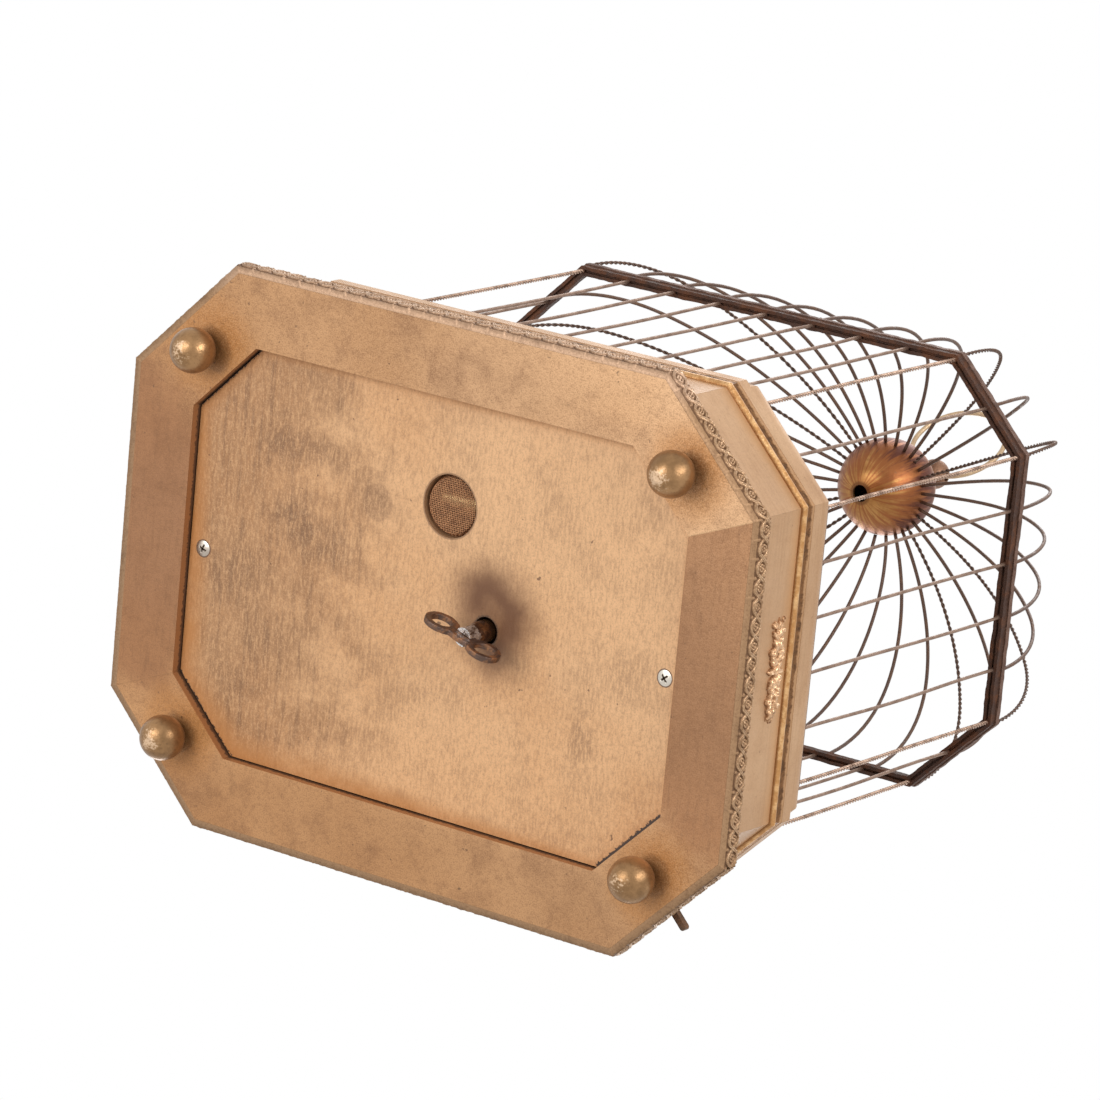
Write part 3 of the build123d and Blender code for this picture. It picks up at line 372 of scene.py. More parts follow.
def case_gold(name):
    """Bronze powder paint over wood: cloudy, brushed along the sides, warmer under the gilt bead."""
    paint = Paint(name, Metallic=0.35)
    base, pale, dark = (0.46, 0.265, 0.135), (0.56, 0.345, 0.19), (0.30, 0.16, 0.075)
    cloud, patch = paint.noise(14, 4, 0.6), paint.noise(45, 4, 0.6)
    speck, mottle, spot = paint.noise(1400, 2, 0.6), paint.noise(480, 3, 0.6), paint.noise(420, 2, 0.5)
    brushed = paint.noise(1, 4, 0.6, paint.stretched(16, 16, 700), 0.3)
    paint.colour = paint.mix(cloud.ramp(0.35, 0.68), base, pale)
    paint.lay(patch.ramp(0.5, 0.75, 0, 0.3), dark)
    paint.grain(brushed, pale, dark, 0.16)
    paint.grain(mottle, pale, dark, 0.1)
    paint.grain(speck, pale, dark, 0.16)
    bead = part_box("gilt_fillet")[0].z
    warm = paint.z.ramp(bead - 9 * MM, bead, 0, 0.5) * patch.ramp(0.3, 0.6, 0.5, 1.0)
    paint.lay(warm * paint.z.ramp(bead + 4 * MM, bead + 2 * MM), (0.58, 0.30, 0.12))
    # painted shade: darker towards the foot of the walls, where they meet the frame
    paint.lay(paint.z.ramp(FRAME_TOP + 5 * MM, FRAME_TOP, 0, 0.4) * patch.ramp(0.35, 0.6), dark)
    paint.lay(spot.ramp(0.73, 0.79, 0, 0.5), SPOT)
    return paint.finish(patch.ramp(0.3, 0.7, 0.42, 0.56),
                        [(cloud, 0.0006), (brushed, 0.00004), (mottle, 0.00008), (speck, 0.00004)])


def frame_gold(name):
    """The frame's paint: painted shade on the two end rails, smoky, an orange ring and a painted contact shadow
    round each foot, bare brown wood on the inner edge beside the cover with painted shade deep in the recess."""
    paint = Paint(name, Metallic=0.3)
    base, pale = (0.50, 0.265, 0.112), (0.63, 0.365, 0.175)
    end_rail_shade, dark = (0.37, 0.18, 0.08), (0.22, 0.10, 0.04)
    cloud, smoke = paint.noise(9, 3, 0.5), paint.noise(34, 4, 0.6, distort=0.3)
    speck, mottle, spot = paint.noise(1600, 2, 0.6), paint.noise(560, 3, 0.65), paint.noise(330, 2, 0.5)
    blotch = paint.noise(130, 4, 0.62, distort=0.2)
    brushed = paint.noise(1, 3, 0.6, paint.stretched(500, 60, 500), 0.2)
    across, down = abs(paint.x), abs(paint.y)

    # the end rails, beyond the mitres, get painted shade: crisp at the lit corner, blurred elsewhere
    slope = sqrt(2) - 1
    mitre = down - across * slope - (BASE[1] - BASE[2] - BASE[0] * slope)
    glint = paint.x.ramp(0.12, 0.13) * paint.y.ramp(0.0, -0.02)
    end = paint.mix(glint, mitre.shaken(smoke, 0.008).ramp(0.014, -0.012), mitre.ramp(0.0004, -0.0004))

    paint.colour = paint.mix(cloud.ramp(0.36, 0.64), base, pale)
    paint.lay(end * 0.85, end_rail_shade)
    # painted shade: greyer in the middle of the -X rail
    paint.lay(paint.x.ramp(-0.12, -0.14) * down.ramp(0.055, 0.015, 0, 0.42), (0.34, 0.185, 0.105))
    paint.lay(smoke.ramp(0.47, 0.7, 0, 0.46), dark)
    paint.lay(blotch.ramp(0.5, 0.68, 0, 0.26), dark)
    shade = paint.mix(paint.y.ramp(0.02, 0.07), (0.87, 0.82, 0.73), (1.08, 1.02, 0.91))
    paint.lay(end * paint.x.ramp(0.1, 0.13), paint.tint(paint.colour, shade))

    # painted light: paler and bluer towards the +X, -Y corner with a painted glint there, and slightly darker
    # along the +Y rail
    aslant = paint.x - paint.y
    tone = paint.mix(aslant.ramp(-0.2, 0.2), (0.92, 0.83, 0.74), (0.96, 0.965, 1.03))
    tone = paint.mix(paint.y.ramp(0.088, 0.102), tone, paint.tint(tone, (0.89, 0.87, 0.84)))
    tone = paint.mix(aslant.ramp(0.14, 0.22), tone, (1.2, 1.24, 1.36))
    paint.colour = paint.tint(paint.colour, tone)

    # an orange ring round each foot, and a painted contact shadow close to it
    for foot in FEET:
        gap = paint.distance(foot + Vector((2.2, 0.5, 0)) * MM).shaken(smoke, 0.0035)
        paint.lay(gap.ramp(0.028, 0.012, 0, 0.75), (0.48, 0.205, 0.054))
        paint.lay(gap.ramp(0.0105, 0.0068, 0, 0.4), (0.10, 0.05, 0.022))
    # a pale line along the mitre, only at the lit corner
    mitre_line = abs(mitre).ramp(0.0004, 0.0001) * glint
    paint.lay(mitre_line * 0.6, (0.78, 0.50, 0.26))
    light = paint.tint(paint.mix(end * 0.8, pale, end_rail_shade), tone)
    paint.lay(brushed.ramp(0.5, 0.66, 0, 0.3) * end, dark)
    paint.grain(mottle, light, dark, 0.24)
    paint.grain(speck, light, dark, 0.4)
    paint.lay(spot.ramp(0.71, 0.78, 0, 0.7), SPOT)

    inner = paint.inside(*BASE)[0].ramp(0.018, 0.020, 0, 0.9)
    edge = paint.z.ramp(FRAME_LOW + 0.1 * MM, FRAME_LOW + 0.5 * MM)
    paint.lay(edge * inner, (0.37, 0.17, 0.068))
    # painted shade deep in the recess, next to the cover
    depth = paint.z.shaken(mottle, 0.0007).ramp(FRAME_LOW + 3.0 * MM, FRAME_LOW + 3.8 * MM)
    paint.lay(depth * inner, (0.11, 0.055, 0.03))
    return paint.finish(smoke.ramp(0.3, 0.7, 0.36, 0.52),
                        [(cloud, 0.0006), (smoke, 0.0004), (mottle, 0.00014), (speck, 0.00008)])


def foot_gold(name):
    """Bronze paint on the ball feet, rubbed to a pale patch where they stand."""
    paint = Paint(name, Metallic=0.7)
    patch, fine = paint.noise(120, 4, 0.6), paint.noise(900, 3, 0.6)
    rubbed = paint.z.shaken(patch, 0.0012).shaken(fine, 0.0012).ramp(0.0009, -0.0008, 0, 0.85)
    paint.colour = paint.mix(patch.ramp(0.38, 0.66), (0.36, 0.20, 0.088), (0.23, 0.125, 0.052))
    paint.lay(fine.ramp(0.56, 0.74, 0, 0.5), (0.12, 0.065, 0.03))
    paint.lay(rubbed, (0.66, 0.47, 0.31))
    # painted shade at the top of each ball, where it meets the frame
    paint.lay(paint.z.ramp(FRAME_LOW - 3.0 * MM, FRAME_LOW, 0, 0.75), (0.07, 0.038, 0.02))
    return paint.finish(patch.ramp(0.35, 0.65, 0.28, 0.38) + rubbed * 0.3, [(patch, 0.0003), (fine, 0.00008)])


def fillet_gilding(name):
    """A bright gilt bead, and above it a hollow painted dark brown: painted shade with some dirt in it."""
    paint = Paint(name, Metallic=0.7)
    patch, fine = paint.noise(230, 5, 0.7), paint.noise(900, 3, 0.6)
    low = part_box("gilt_fillet")[0].z
    rise = paint.z.shaken(patch, 0.0006)
    bead = paint.mix(patch.ramp(0.42, 0.62), (0.48, 0.24, 0.085), (0.70, 0.42, 0.19))
    # painted shade in the hollow, with some dirt
    hollow = paint.mix(patch.ramp(0.35, 0.6), (0.09, 0.038, 0.012), (0.21, 0.09, 0.028))
    paint.colour = paint.mix(rise.ramp(low + 2.5 * MM, low + 3.2 * MM), bead, hollow)
    paint.lay(rise.ramp(low + 6.2 * MM, low + 7.4 * MM), (0.46, 0.26, 0.13))
    paint.lay(paint.z.ramp(low + 0.5 * MM, low + 0.1 * MM, 0, 0.7), (0.30, 0.14, 0.05))
    paint.lay(fine.ramp(0.58, 0.76, 0, 0.6), (0.36, 0.18, 0.06))
    return paint.finish(patch.ramp(0.35, 0.7, 0.46, 0.3), [(patch, 0.0004), (fine, 0.00012)])


def relief_gilding(name, base, pale, dark, metal=0.45, gloss=0.36):
    """Aged gilding on a carved relief, dark in its hollows, pale on its crests from wear and painted
    highlight, and paler and bluer along the -Y side from painted light.
    """
    paint = Paint(name, Metallic=metal)
    fine, patch = paint.noise(900, 3, 0.6), paint.noise(120, 4, 0.6)
    level = paint.add("ShaderNodeAttribute", "Fac", attribute_name="relief").shaken(fine, 0.16)
    paint.colour = paint.mix(level.ramp(0.12, 0.5), dark, base)
    # pale crests: wear, with painted highlight
    paint.lay(level.ramp(0.6, 1.0), pale)
    paint.lay(patch.ramp(0.52, 0.7, 0, 0.4), dark)
    # painted light: paler and bluer along the -Y side
    paint.lay(paint.y.ramp(-0.112, -0.124), paint.tint(paint.colour, (1.3, 1.42, 1.75)))
    return paint.finish(level.ramp(0.2, 0.9, gloss + 0.26, gloss), [(fine, 0.00012), (patch, 0.0002)])


def plywood(name):
    """Thin gold wash over plywood: smoky stains, pale streaks along Y, a warm stain and a jagged line of
    painted shade at the rim, and a dark halo round the key."""
    paint = Paint(name, Metallic=0.1)
    base, pale = (0.68, 0.37, 0.17), (0.78, 0.465, 0.24)
    smoky, brown = (0.29, 0.155, 0.078), (0.13, 0.06, 0.028)
    cloud, smoke = paint.noise(12, 3, 0.5), paint.noise(40, 4, 0.6, distort=0.2)
    speck, spot, uneven = paint.noise(1500, 2, 0.6), paint.noise(260, 2, 0.5), paint.noise(640, 3, 0.7)
    mottle = paint.noise(1, 3, 0.6, paint.stretched(620, 330, 1))
    dash = paint.noise(1, 2, 0.55, paint.stretched(820, 190, 1), 0.2)
    streak = paint.noise(1, 2, 0.5, paint.stretched(400, 34, 1), 0.3)
    left = paint.x.shaken(smoke, -0.03).ramp(-0.01, -0.09)

    paint.colour = paint.mix(cloud.ramp(0.36, 0.64), base, pale)
    stain = smoke.ramp(0.42, 0.7) * 0.38
    for x, y, reach, depth in SMUDGES:
        gap = paint.distance(Vector((x, y, 0)) * MM).shaken(smoke, -0.009)
        stain = paint.math("MAXIMUM", stain, gap.ramp(reach * MM, reach * 0.1 * MM, 0, depth))
    paint.lay(stain * mottle.ramp(0.36, 0.58, 0.55, 1.0) * dash.ramp(0.48, 0.62, 1.0, 0.3), smoky)
    paint.lay(streak.ramp(0.5, 0.66, 0, 0.5) * (left + 0.25), pale)
    paint.lay(streak.ramp(0.48, 0.34, 0, 0.42) * (left + 0.15), smoky)
    disc = paint.distance(STAIN)
    paint.lay(disc.ramp(0.0088, 0.0076) * disc.ramp(0.0, 0.0076, 0.18, 0.36), smoky)
    tone = paint.mix(left, (0.96, 0.95, 0.945), (0.61, 0.55, 0.49))
    tone = paint.mix(paint.y.ramp(0.02, 0.09, 0, 0.8), tone, paint.tint(tone, (0.97, 0.89, 0.80)))
    paint.colour = paint.tint(paint.colour, tone)
    paint.grain(dash, pale, smoky, 0.22)
    paint.grain(mottle, pale, smoky, 0.2)
    paint.grain(speck, pale, smoky, 0.26)

    # a dark halo round the key, heaviest towards +X
    from_key = paint.distance(KEY + Vector((1.0, -5.5, 0)) * MM).shaken(smoke, 0.004)
    side = paint.x - paint.y * 0.5
    key_halo = from_key.ramp(0.004, 0.011, 0.85, 1) * from_key.ramp(0.034, 0.012)
    key_halo *= side.ramp(KEY.x - 0.026, KEY.x, 0.15, 1.0)
    paint.lay(key_halo * 0.96, (0.135, 0.052, 0.018))
    paint.lay(spot.ramp(0.74, 0.79, 0, 0.8), brown)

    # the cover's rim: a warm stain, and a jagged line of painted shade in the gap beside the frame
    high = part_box("bottom_cover")[1]
    margin, corner = paint.inside(high.x, high.y, BASE[2] - (BASE[0] - high.x) * (2 - sqrt(2)))
    lower_left = (paint.x - paint.y).ramp(0.02, -0.18)
    warm = (margin / (lower_left * 0.009 + 0.004)).ramp(1.2, 0.05) * smoke.ramp(0.3, 0.65, 0.55, 1.0)
    paint.lay(warm * (lower_left * 0.45 + 0.5), (0.50, 0.21, 0.06))
    gap_sides = (margin - corner).ramp(-0.001, -0.0002) * (paint.y - paint.x).ramp(-0.19, -0.1)
    rim_gap_shade = margin - uneven.ramp(0.42, 0.64, 0.0, 0.0009) - paint.x.ramp(0.0, 0.03, 0, 0.0013)
    paint.lay(rim_gap_shade.ramp(0.0002, 0.0) * gap_sides, (0.05, 0.026, 0.015))

    # dark rims round the key's hole, the sound hole and the screws: painted shade in the gaps at their edges
    rim = paint.distance(KEY) + speck * 0.002
    paint.lay(rim.ramp(0.0085, 0.0068, 0, 0.9), (0.02, 0.012, 0.008))
    paint.lay(paint.distance(SOUND_HOLE).ramp(0.0149, 0.0144, 0, 0.6), (0.13, 0.06, 0.03))
    for screw in SCREWS:
        seat = paint.distance(screw) + mottle * 0.0006
        paint.lay(seat.ramp(0.0046, 0.0042, 0, 0.85), (0.10, 0.05, 0.03))
    return paint.finish(cloud.ramp(0.3, 0.7, 0.5, 0.62),
                        [(streak, 0.00015), (dash, 0.00014), (mottle, 0.00012), (speck, 0.00006)])


def sawn_wood(name, base, dark):
    paint = Paint(name)
    grain = paint.noise(1, 5, 0.6, paint.stretched(40, 700, 700), 0.8)
    pores = paint.noise(1, 2, 0.5, paint.stretched(260, 2400, 2400))
    paint.colour = paint.mix(grain.ramp(0.4, 0.65), base, dark)
    paint.lay(pores.ramp(0.62, 0.74, 0, 0.6), [c * 0.4 for c in dark])
    return paint.finish(grain.ramp(0.3, 0.7, 0.6, 0.78), [(grain, 0.0003), (pores, 0.00015)])


def old_metal(name, base, stain, dark, metal=0.9, gloss=0.34, scale=130, pits=0.00015, stain_share=0.8):
    """Drawn or cast metal with a patina: stained in patches and finely pitted."""
    paint = Paint(name, Metallic=metal)
    patch, fine = paint.noise(scale, 5, 0.65, distort=0.3), paint.noise(scale * 9, 3, 0.6)
    paint.colour = paint.mix(patch.ramp(0.42, 0.66, 0, stain_share), base, stain)
    paint.lay(fine.ramp(0.55, 0.74, 0, 0.75), dark)
    rough = patch.ramp(0.35, 0.65, gloss, gloss + 0.22) + fine.ramp(0.5, 0.75, 0, 0.12)
    return paint.finish(rough, [(patch, pits * 1.5), (fine, pits)])


def clean_metal(name, base, dark, gloss=0.22, metal=1.0):
    """Worked metal with fine brush marks and a little tarnish."""
    paint = Paint(name, Metallic=metal)
    lines = paint.noise(1, 3, 0.6, paint.stretched(40, 900, 900))
    tarnish = paint.noise(60, 4, 0.6)
    paint.colour = paint.mix(tarnish.ramp(0.45, 0.72, 0, 0.7), base, dark)
    paint.lay(lines.ramp(0.5, 0.75, 0, 0.25), dark)
    rough = tarnish.ramp(0.4, 0.7, gloss, gloss + 0.16) + lines.ramp(0.3, 0.7, 0, 0.08)
    return paint.finish(rough, [(lines, 0.00004)])


def ball_metal(name):
    """Copper-gold ball, with purple-brown heat streaks that run from the wires' ends towards its foot."""
    paint = Paint(name, Metallic=0.85)
    turn = paint.math("ARCTAN2", paint.y, paint.x)
    climb = (paint.z - BALL_Z) / BALL_RADIUS
    ray = paint.add("ShaderNodeCombineXYZ", "Vector", {
        0: paint.math("COSINE", turn) * 5.2, 1: paint.math("SINE", turn) * 5.2, 2: climb * 0.7,
    })
    streak = paint.noise(1.8, 4, 0.6, ray)
    patch, fine = paint.noise(75, 4, 0.6, distort=0.5), paint.noise(700, 3, 0.6)
    reach = climb + streak.ramp(0.35, 0.7, -0.25, 0.55)
    rust = reach.ramp(-1.05, -0.55) * climb.ramp(0.8, 0.3)
    near_wires = reach.ramp(-0.4, 0.15) * climb.ramp(0.55, 0.15)
    paint.colour = paint.mix(patch.ramp(0.38, 0.62), (0.34, 0.15, 0.045), (0.50, 0.26, 0.085))
    paint.lay(patch.ramp(0.54, 0.68, 0, 0.7), (0.16, 0.06, 0.022))
    paint.lay(rust * 0.85, (0.27, 0.085, 0.030))
    paint.lay(near_wires * 0.92, (0.12, 0.042, 0.030))
    paint.lay(fine.ramp(0.6, 0.75, 0, 0.5), (0.2, 0.1, 0.05))
    # painted shade: a brown ring, then a black one, round the hole, so that it reads as a wider dark hole
    paint.lay(climb.ramp(-0.962, -0.978, 0, 0.7), (0.13, 0.05, 0.02))
    paint.lay(climb.ramp(-0.983, -0.986, 0, 0.97), (0.012, 0.008, 0.006))
    rough = patch.ramp(0.3, 0.65, 0.3, 0.42) + near_wires * 0.2
    return paint.finish(rough, [(patch, 0.0003), (fine, 0.00006)])


def hub_steel(name):
    """Bright steel where the key's cone is handled, rusty brown on the stem inside the case."""
    paint = Paint(name, Metallic=0.85)
    patch, fine = paint.noise(260, 4, 0.65), paint.noise(1500, 3, 0.6)
    worn = paint.noise(1, 3, 0.6, paint.stretched(420, 420, 160), 0.4)
    rust = paint.mix(patch.ramp(0.4, 0.62), (0.20, 0.095, 0.04), (0.075, 0.036, 0.02))
    # dark streaks on the bright steel: painted reflection of dark surroundings, with some tarnish
    bright = paint.mix(worn.ramp(0.46, 0.6), (0.70, 0.68, 0.66), (0.15, 0.11, 0.085))
    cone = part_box("key_hub")[0].z + HUB_CONE
    paint.colour = paint.mix(paint.z.shaken(patch, 0.0016).ramp(cone, cone + 1.6 * MM), bright, rust)
    paint.lay(fine.ramp(0.56, 0.74, 0, 0.6), (0.09, 0.055, 0.04))
    return paint.finish(patch.ramp(0.35, 0.65, 0.16, 0.34), [(patch, 0.0003), (fine, 0.00006)])


def feather(name, base, tip, dark):
    paint = Paint(name, Sheen_Weight=0.35, Sheen_Roughness=0.5)
    barbs = paint.noise(1, 3, 0.6, paint.stretched(900, 1600, 900), 0.3)
    patch = paint.noise(120, 3, 0.55)
    share = paint.add("ShaderNodeAttribute", "Fac", attribute_name="along")
    paint.colour = paint.mix(share.ramp(0.2, 0.95), base, tip)
    paint.lay(patch.ramp(0.5, 0.72, 0, 0.5), dark)
    paint.lay(barbs.ramp(0.5, 0.72, 0, 0.5), dark)
    return paint.finish(barbs.ramp(0.3, 0.7, 0.6, 0.78), [(barbs, 0.0001)])


def kid_leather(name):
    paint = Paint(name)
    crease = paint.noise(1, 3, 0.6, paint.stretched(60, 60, 900))
    grain = paint.add("ShaderNodeTexVoronoi", "Distance", {"Vector": paint.place, "Scale": 1500})
    paint.colour = paint.mix(crease.ramp(0.4, 0.65), (0.72, 0.62, 0.47), (0.52, 0.41, 0.28))
    return paint.finish(crease.ramp(0.3, 0.7, 0.55, 0.7), [(crease, 0.0005), (grain, 0.00008)])


frame_paint = frame_gold("bronze_gold_paint_base")
case_paint = case_gold("bronze_gold_paint_case")
foot_paint = foot_gold("bronze_gold_paint_feet")
bright_gilt = fillet_gilding("bright_gilt")
relief_gilt = relief_gilding("aged_gilt_relief", (0.35, 0.20, 0.10), (0.68, 0.45, 0.265), (0.16, 0.08, 0.036))
spray_gilt = relief_gilding("gilt_relief_pink", (0.66, 0.40, 0.22), (0.92, 0.66, 0.42), (0.22, 0.09, 0.03),
                            metal=0.6, gloss=0.28)
cover_wood = plywood("gold_washed_plywood")
raw_wood = sawn_wood("raw_wood", (0.52, 0.38, 0.24), (0.36, 0.24, 0.14))
wall_wire_metal = old_metal("wire_brass_walls", (0.31, 0.205, 0.15), (0.20, 0.125, 0.09), (0.09, 0.052, 0.036),
                            metal=0.6, gloss=0.42)
twist_metal = old_metal("twisted_brass", (0.50, 0.34, 0.25), (0.20, 0.12, 0.082), (0.07, 0.04, 0.028),
                        metal=0.6, gloss=0.36)
# near black core of the twisted pairs: dirt and painted shade in their crease
core_metal = old_metal("wire_core", (0.035, 0.02, 0.014), (0.06, 0.034, 0.024), (0.02, 0.012, 0.01),
                       metal=0.1, gloss=0.6)
dome_wire_metal = old_metal("wire_brass_dome", (0.12, 0.07, 0.05), (0.22, 0.12, 0.07), (0.05, 0.03, 0.025),
                            metal=0.6, gloss=0.42, stain_share=0.45)
band_metal = old_metal("band_brass", (0.052, 0.020, 0.010), (0.15, 0.055, 0.022), (0.022, 0.010, 0.006),
                       metal=0.25, gloss=0.6, pits=0.0004)
hoop_metal = old_metal("hoop_brass", (0.15, 0.075, 0.048), (0.075, 0.036, 0.024), (0.035, 0.02, 0.013),
                       metal=0.3, gloss=0.5, pits=0.0004)
copper_ball = ball_metal("ball_gilt")
pale_brass = old_metal("ring_brass", (0.54, 0.39, 0.24), (0.42, 0.27, 0.16), (0.24, 0.14, 0.08),
                       metal=0.7, gloss=0.38, stain_share=0.6)
knob_brass = old_metal("finial_brass", (0.26, 0.13, 0.072), (0.15, 0.065, 0.034), (0.07, 0.034, 0.02),
                       metal=0.45, gloss=0.46, stain_share=0.7)
rusty_iron = old_metal("key_iron", (0.10, 0.06, 0.045), (0.36, 0.16, 0.065), (0.035, 0.024, 0.02),
                       metal=0.7, gloss=0.28, scale=260, pits=0.0002, stain_share=0.75)
bright_hub = hub_steel("key_hub_steel")
steel = clean_metal("steel", (0.66, 0.64, 0.61), (0.30, 0.25, 0.21), gloss=0.2)
zinc = clean_metal("zinc_screw", (0.62, 0.57, 0.50), (0.30, 0.24, 0.19), gloss=0.3)
dark_iron = old_metal("dark_iron", (0.11, 0.068, 0.045), (0.24, 0.115, 0.055), (0.04, 0.03, 0.03), gloss=0.4)
brass = clean_metal("brass", (0.78, 0.58, 0.28), (0.44, 0.29, 0.12), gloss=0.26)
mesh_metal = old_metal("brown_mesh", (0.55, 0.27, 0.125), (0.36, 0.165, 0.08), (0.12, 0.06, 0.035),
                       metal=0.1, gloss=0.55, scale=300)
leather = kid_leather("kid_leather")
orange_feathers = feather("feathers_body", (0.50, 0.24, 0.06), (0.75, 0.46, 0.14), (0.24, 0.10, 0.03))
brown_feathers = feather("feathers_tail", (0.20, 0.13, 0.075), (0.36, 0.23, 0.12), (0.08, 0.05, 0.03))
horn = clean_metal("horn", (0.16, 0.12, 0.09), (0.07, 0.05, 0.04), gloss=0.3, metal=0.0)
eye_glass = clean_metal("eye_glass", (0.012, 0.010, 0.009), (0.03, 0.018, 0.012), gloss=0.06, metal=0.0)


# ---- CAD nodes that keep their shape, with their materials and the width of their worn edges in mm ----

kept = {
    frame_paint: {"bottom_frame": 0.12},
    case_paint: {"case_walls": 0.5, "plinth_band": 0.5, "deck_board": 0.4},
    cover_wood: {"bottom_cover": 0.25},
    raw_wood: {
        "cover_cleats": 0.5, "wind_chest": 0.5, "chest_posts": 0.5, "bellows_board": 0.4, "lever_post": 0.4,
    },
    wall_wire_metal: {"cage_sill": 0.5},
    steel: {
        "ratchet_wheel": 0.15, "click": 0.2, "click_spring": 0.1, "mainspring": 0.3, "winding_arbor": None,
        "head_rod": None, "beak_rod": None, "tail_rod": None,
    },
    brass: {
        "bottom_plate": 0.3, "top_plate": 0.3, "movement_pillars": 0.3, "spring_barrel": 0.2,
        "second_wheel": 0.15, "third_wheel": 0.15, "bird_cams": 0.2, "fly_governor": 0.15,
        "whistle_tube": 0.3, "whistle_piston": 0.3, "perch": 0.4,
    },
    leather: {"bellows_leather": 0.8},
    dark_iron: {"stop_lever": 0.4, "bird_legs": None},
    bright_gilt: {"gilt_fillet": None},
    foot_paint: {"ball_feet": None},
    copper_ball: {"crown_ball": None},
    knob_brass: {"finial": None},
    bright_hub: {"key_hub": None},
    horn: {"bird_beak": None},
}
for material, worn in kept.items():
    for name, edge in worn.items():
        node = nodes[name]
        node.data.materials.clear()
        node.data.materials.append(material)
        if edge:
            bevel = node.modifiers.new("worn_edges", "BEVEL")
            bevel.width = edge * MM
            bevel.segments = 2
            bevel.limit_method = "ANGLE"
            bevel.angle_limit = radians(35)
            bevel.harden_normals = False


# ---- guilloche moulding: two ribbons that cross between round bosses ----

STRIP_REACH = 4.2 * MM
EYE_PITCH = 8.6 * MM
LOOP, RIBBON = 3.3 * MM, 0.8 * MM    # radius of a loop round its rosette, half width of a ribbon
MITRE = sqrt(2) - 1                  # how much longer a strip's outer side is at each end, per reach


def welt(gap, half):
    """Cross-section of a ribbon with raised edges; 0 beyond its half width."""
    share = abs(gap) / half
    if share >= 1:
        return 0.0
    return (0.62 + 0.38 * exp(-((share - 0.6) / 0.25) ** 2)) * min(1.0, (1 - share) / 0.22)


def bump(gap, half):
    share = abs(gap) / half
    return sqrt(1 - share * share) if share < 1 else 0.0


def guilloche_height(along, across, pitch):
    """Relief from 0 to 1 of two ribbons that cross between rosettes; lengths in metres."""
    from_eye = (along / pitch - floor(along / pitch) - 0.5) * pitch
    from_cross = from_eye - copysign(pitch / 2, from_eye)
    radius = hypot(from_eye, across)
    lean = asin(min(0.98, 2 * LOOP / pitch))
    reach = sqrt(max(0.0, pitch * pitch / 4 - LOOP * LOOP))
    height = 0.0
    if abs(across) >= radius * cos(lean):
        height = 0.92 * welt(radius - LOOP, RIBBON)
    for hand in (1, -1):
        gap = from_cross * sin(lean) - hand * across * cos(lean)
        run = from_cross * cos(lean) + hand * across * sin(lean)
        if abs(run) <= reach:
            over = 1.0 if hand > 0 else 0.5 + 0.45 * min(1.0, abs(run) / (1.4 * MM))
            height = max(height, over * welt(gap, RIBBON))
    petals = 0.72 + 0.16 * cos(6 * atan2(across, from_eye))
    rosette = max(petals * bump(radius - 1.42 * MM, 0.55 * MM), 0.85 * bump(radius, 0.62 * MM))
    leaf = 0.55 * bump(hypot(from_cross, (abs(across) - 3.5 * MM) * 0.8), 0.95 * MM)
    return max(height, rosette, leaf)


def add_guilloche():
    """The eight strips, worn along their length and lower on the sides that are rubbed most."""
    bm = bmesh.new()
    relief = bm.verts.layers.float.new("relief")
    rows = 41
    half_height = (FRAME_TOP - FRAME_LOW) / 2
    for side in range(8):
        start, end = side_ends(BASE, 0, side)
        along = (end - start).normalized()
        outwards = along.cross(UP)
        rubbed = outwards.dot(Vector((-1, 1, 0))) > -0.1
        body, carving = (0.64, 0.14) if rubbed else (0.54, 0.28)
        length = (end - start).length
        drawn = length + STRIP_REACH * MITRE
        pitch = drawn / round(drawn / EYE_PITCH)
        columns = int(length / (0.32 * MM))

        def place(row, column):
            across = -1 + 2 * row / (rows - 1)
            share = column / (columns - 1)
            travelled = share * drawn
            wander = noise.noise_vector(Vector((side * 5 + travelled * 90, across, 0))) * 0.6 * MM
            height = guilloche_height(travelled + wander.x, across * half_height + wander.y, pitch)
            worn = 1 - 0.4 * max(0.0, noise.noise(Vector((travelled * 70, across * 2, side * 3.0))))
            height *= worn * min(1.0, (1 - abs(across)) / 0.06)
            swell = 0.16 + body * min(1.0, (1 - across) / 0.35)
            rough = 0.03 * noise.noise(Vector((travelled * 700, across * 5, side)))
            proud = STRIP_REACH * min(0.985, max(0.06, swell + carving * height + rough))
            if row in (0, rows - 1):
                proud = 0.05 * MM
            mitre = proud * MITRE
            position = start + along * (share * (length + 2 * mitre) - mitre) + outwards * proud
            position.z = FRAME_LOW + 0.05 * MM + (FRAME_TOP - FRAME_LOW - 0.1 * MM) * (across + 1) / 2
            return position, height if row > 1 else 0.5

        relief_sheet(bm, relief, rows, columns, place)
    bmesh.ops.recalc_face_normals(bm, faces=bm.faces)
    piece = new_object("guilloche_strips", bm, relief_gilt, "case")
    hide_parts("guilloche_moulding")


add_guilloche()


# ---- leafy sprays in the middle of the four long friezes ----

SPRAY_LENGTH, SPRAY_HEIGHT, SPRAY_RELIEF = 50 * MM, 15.5 * MM, 3.2 * MM
SPRAY_Z = FRAME_TOP + 35.4 * MM

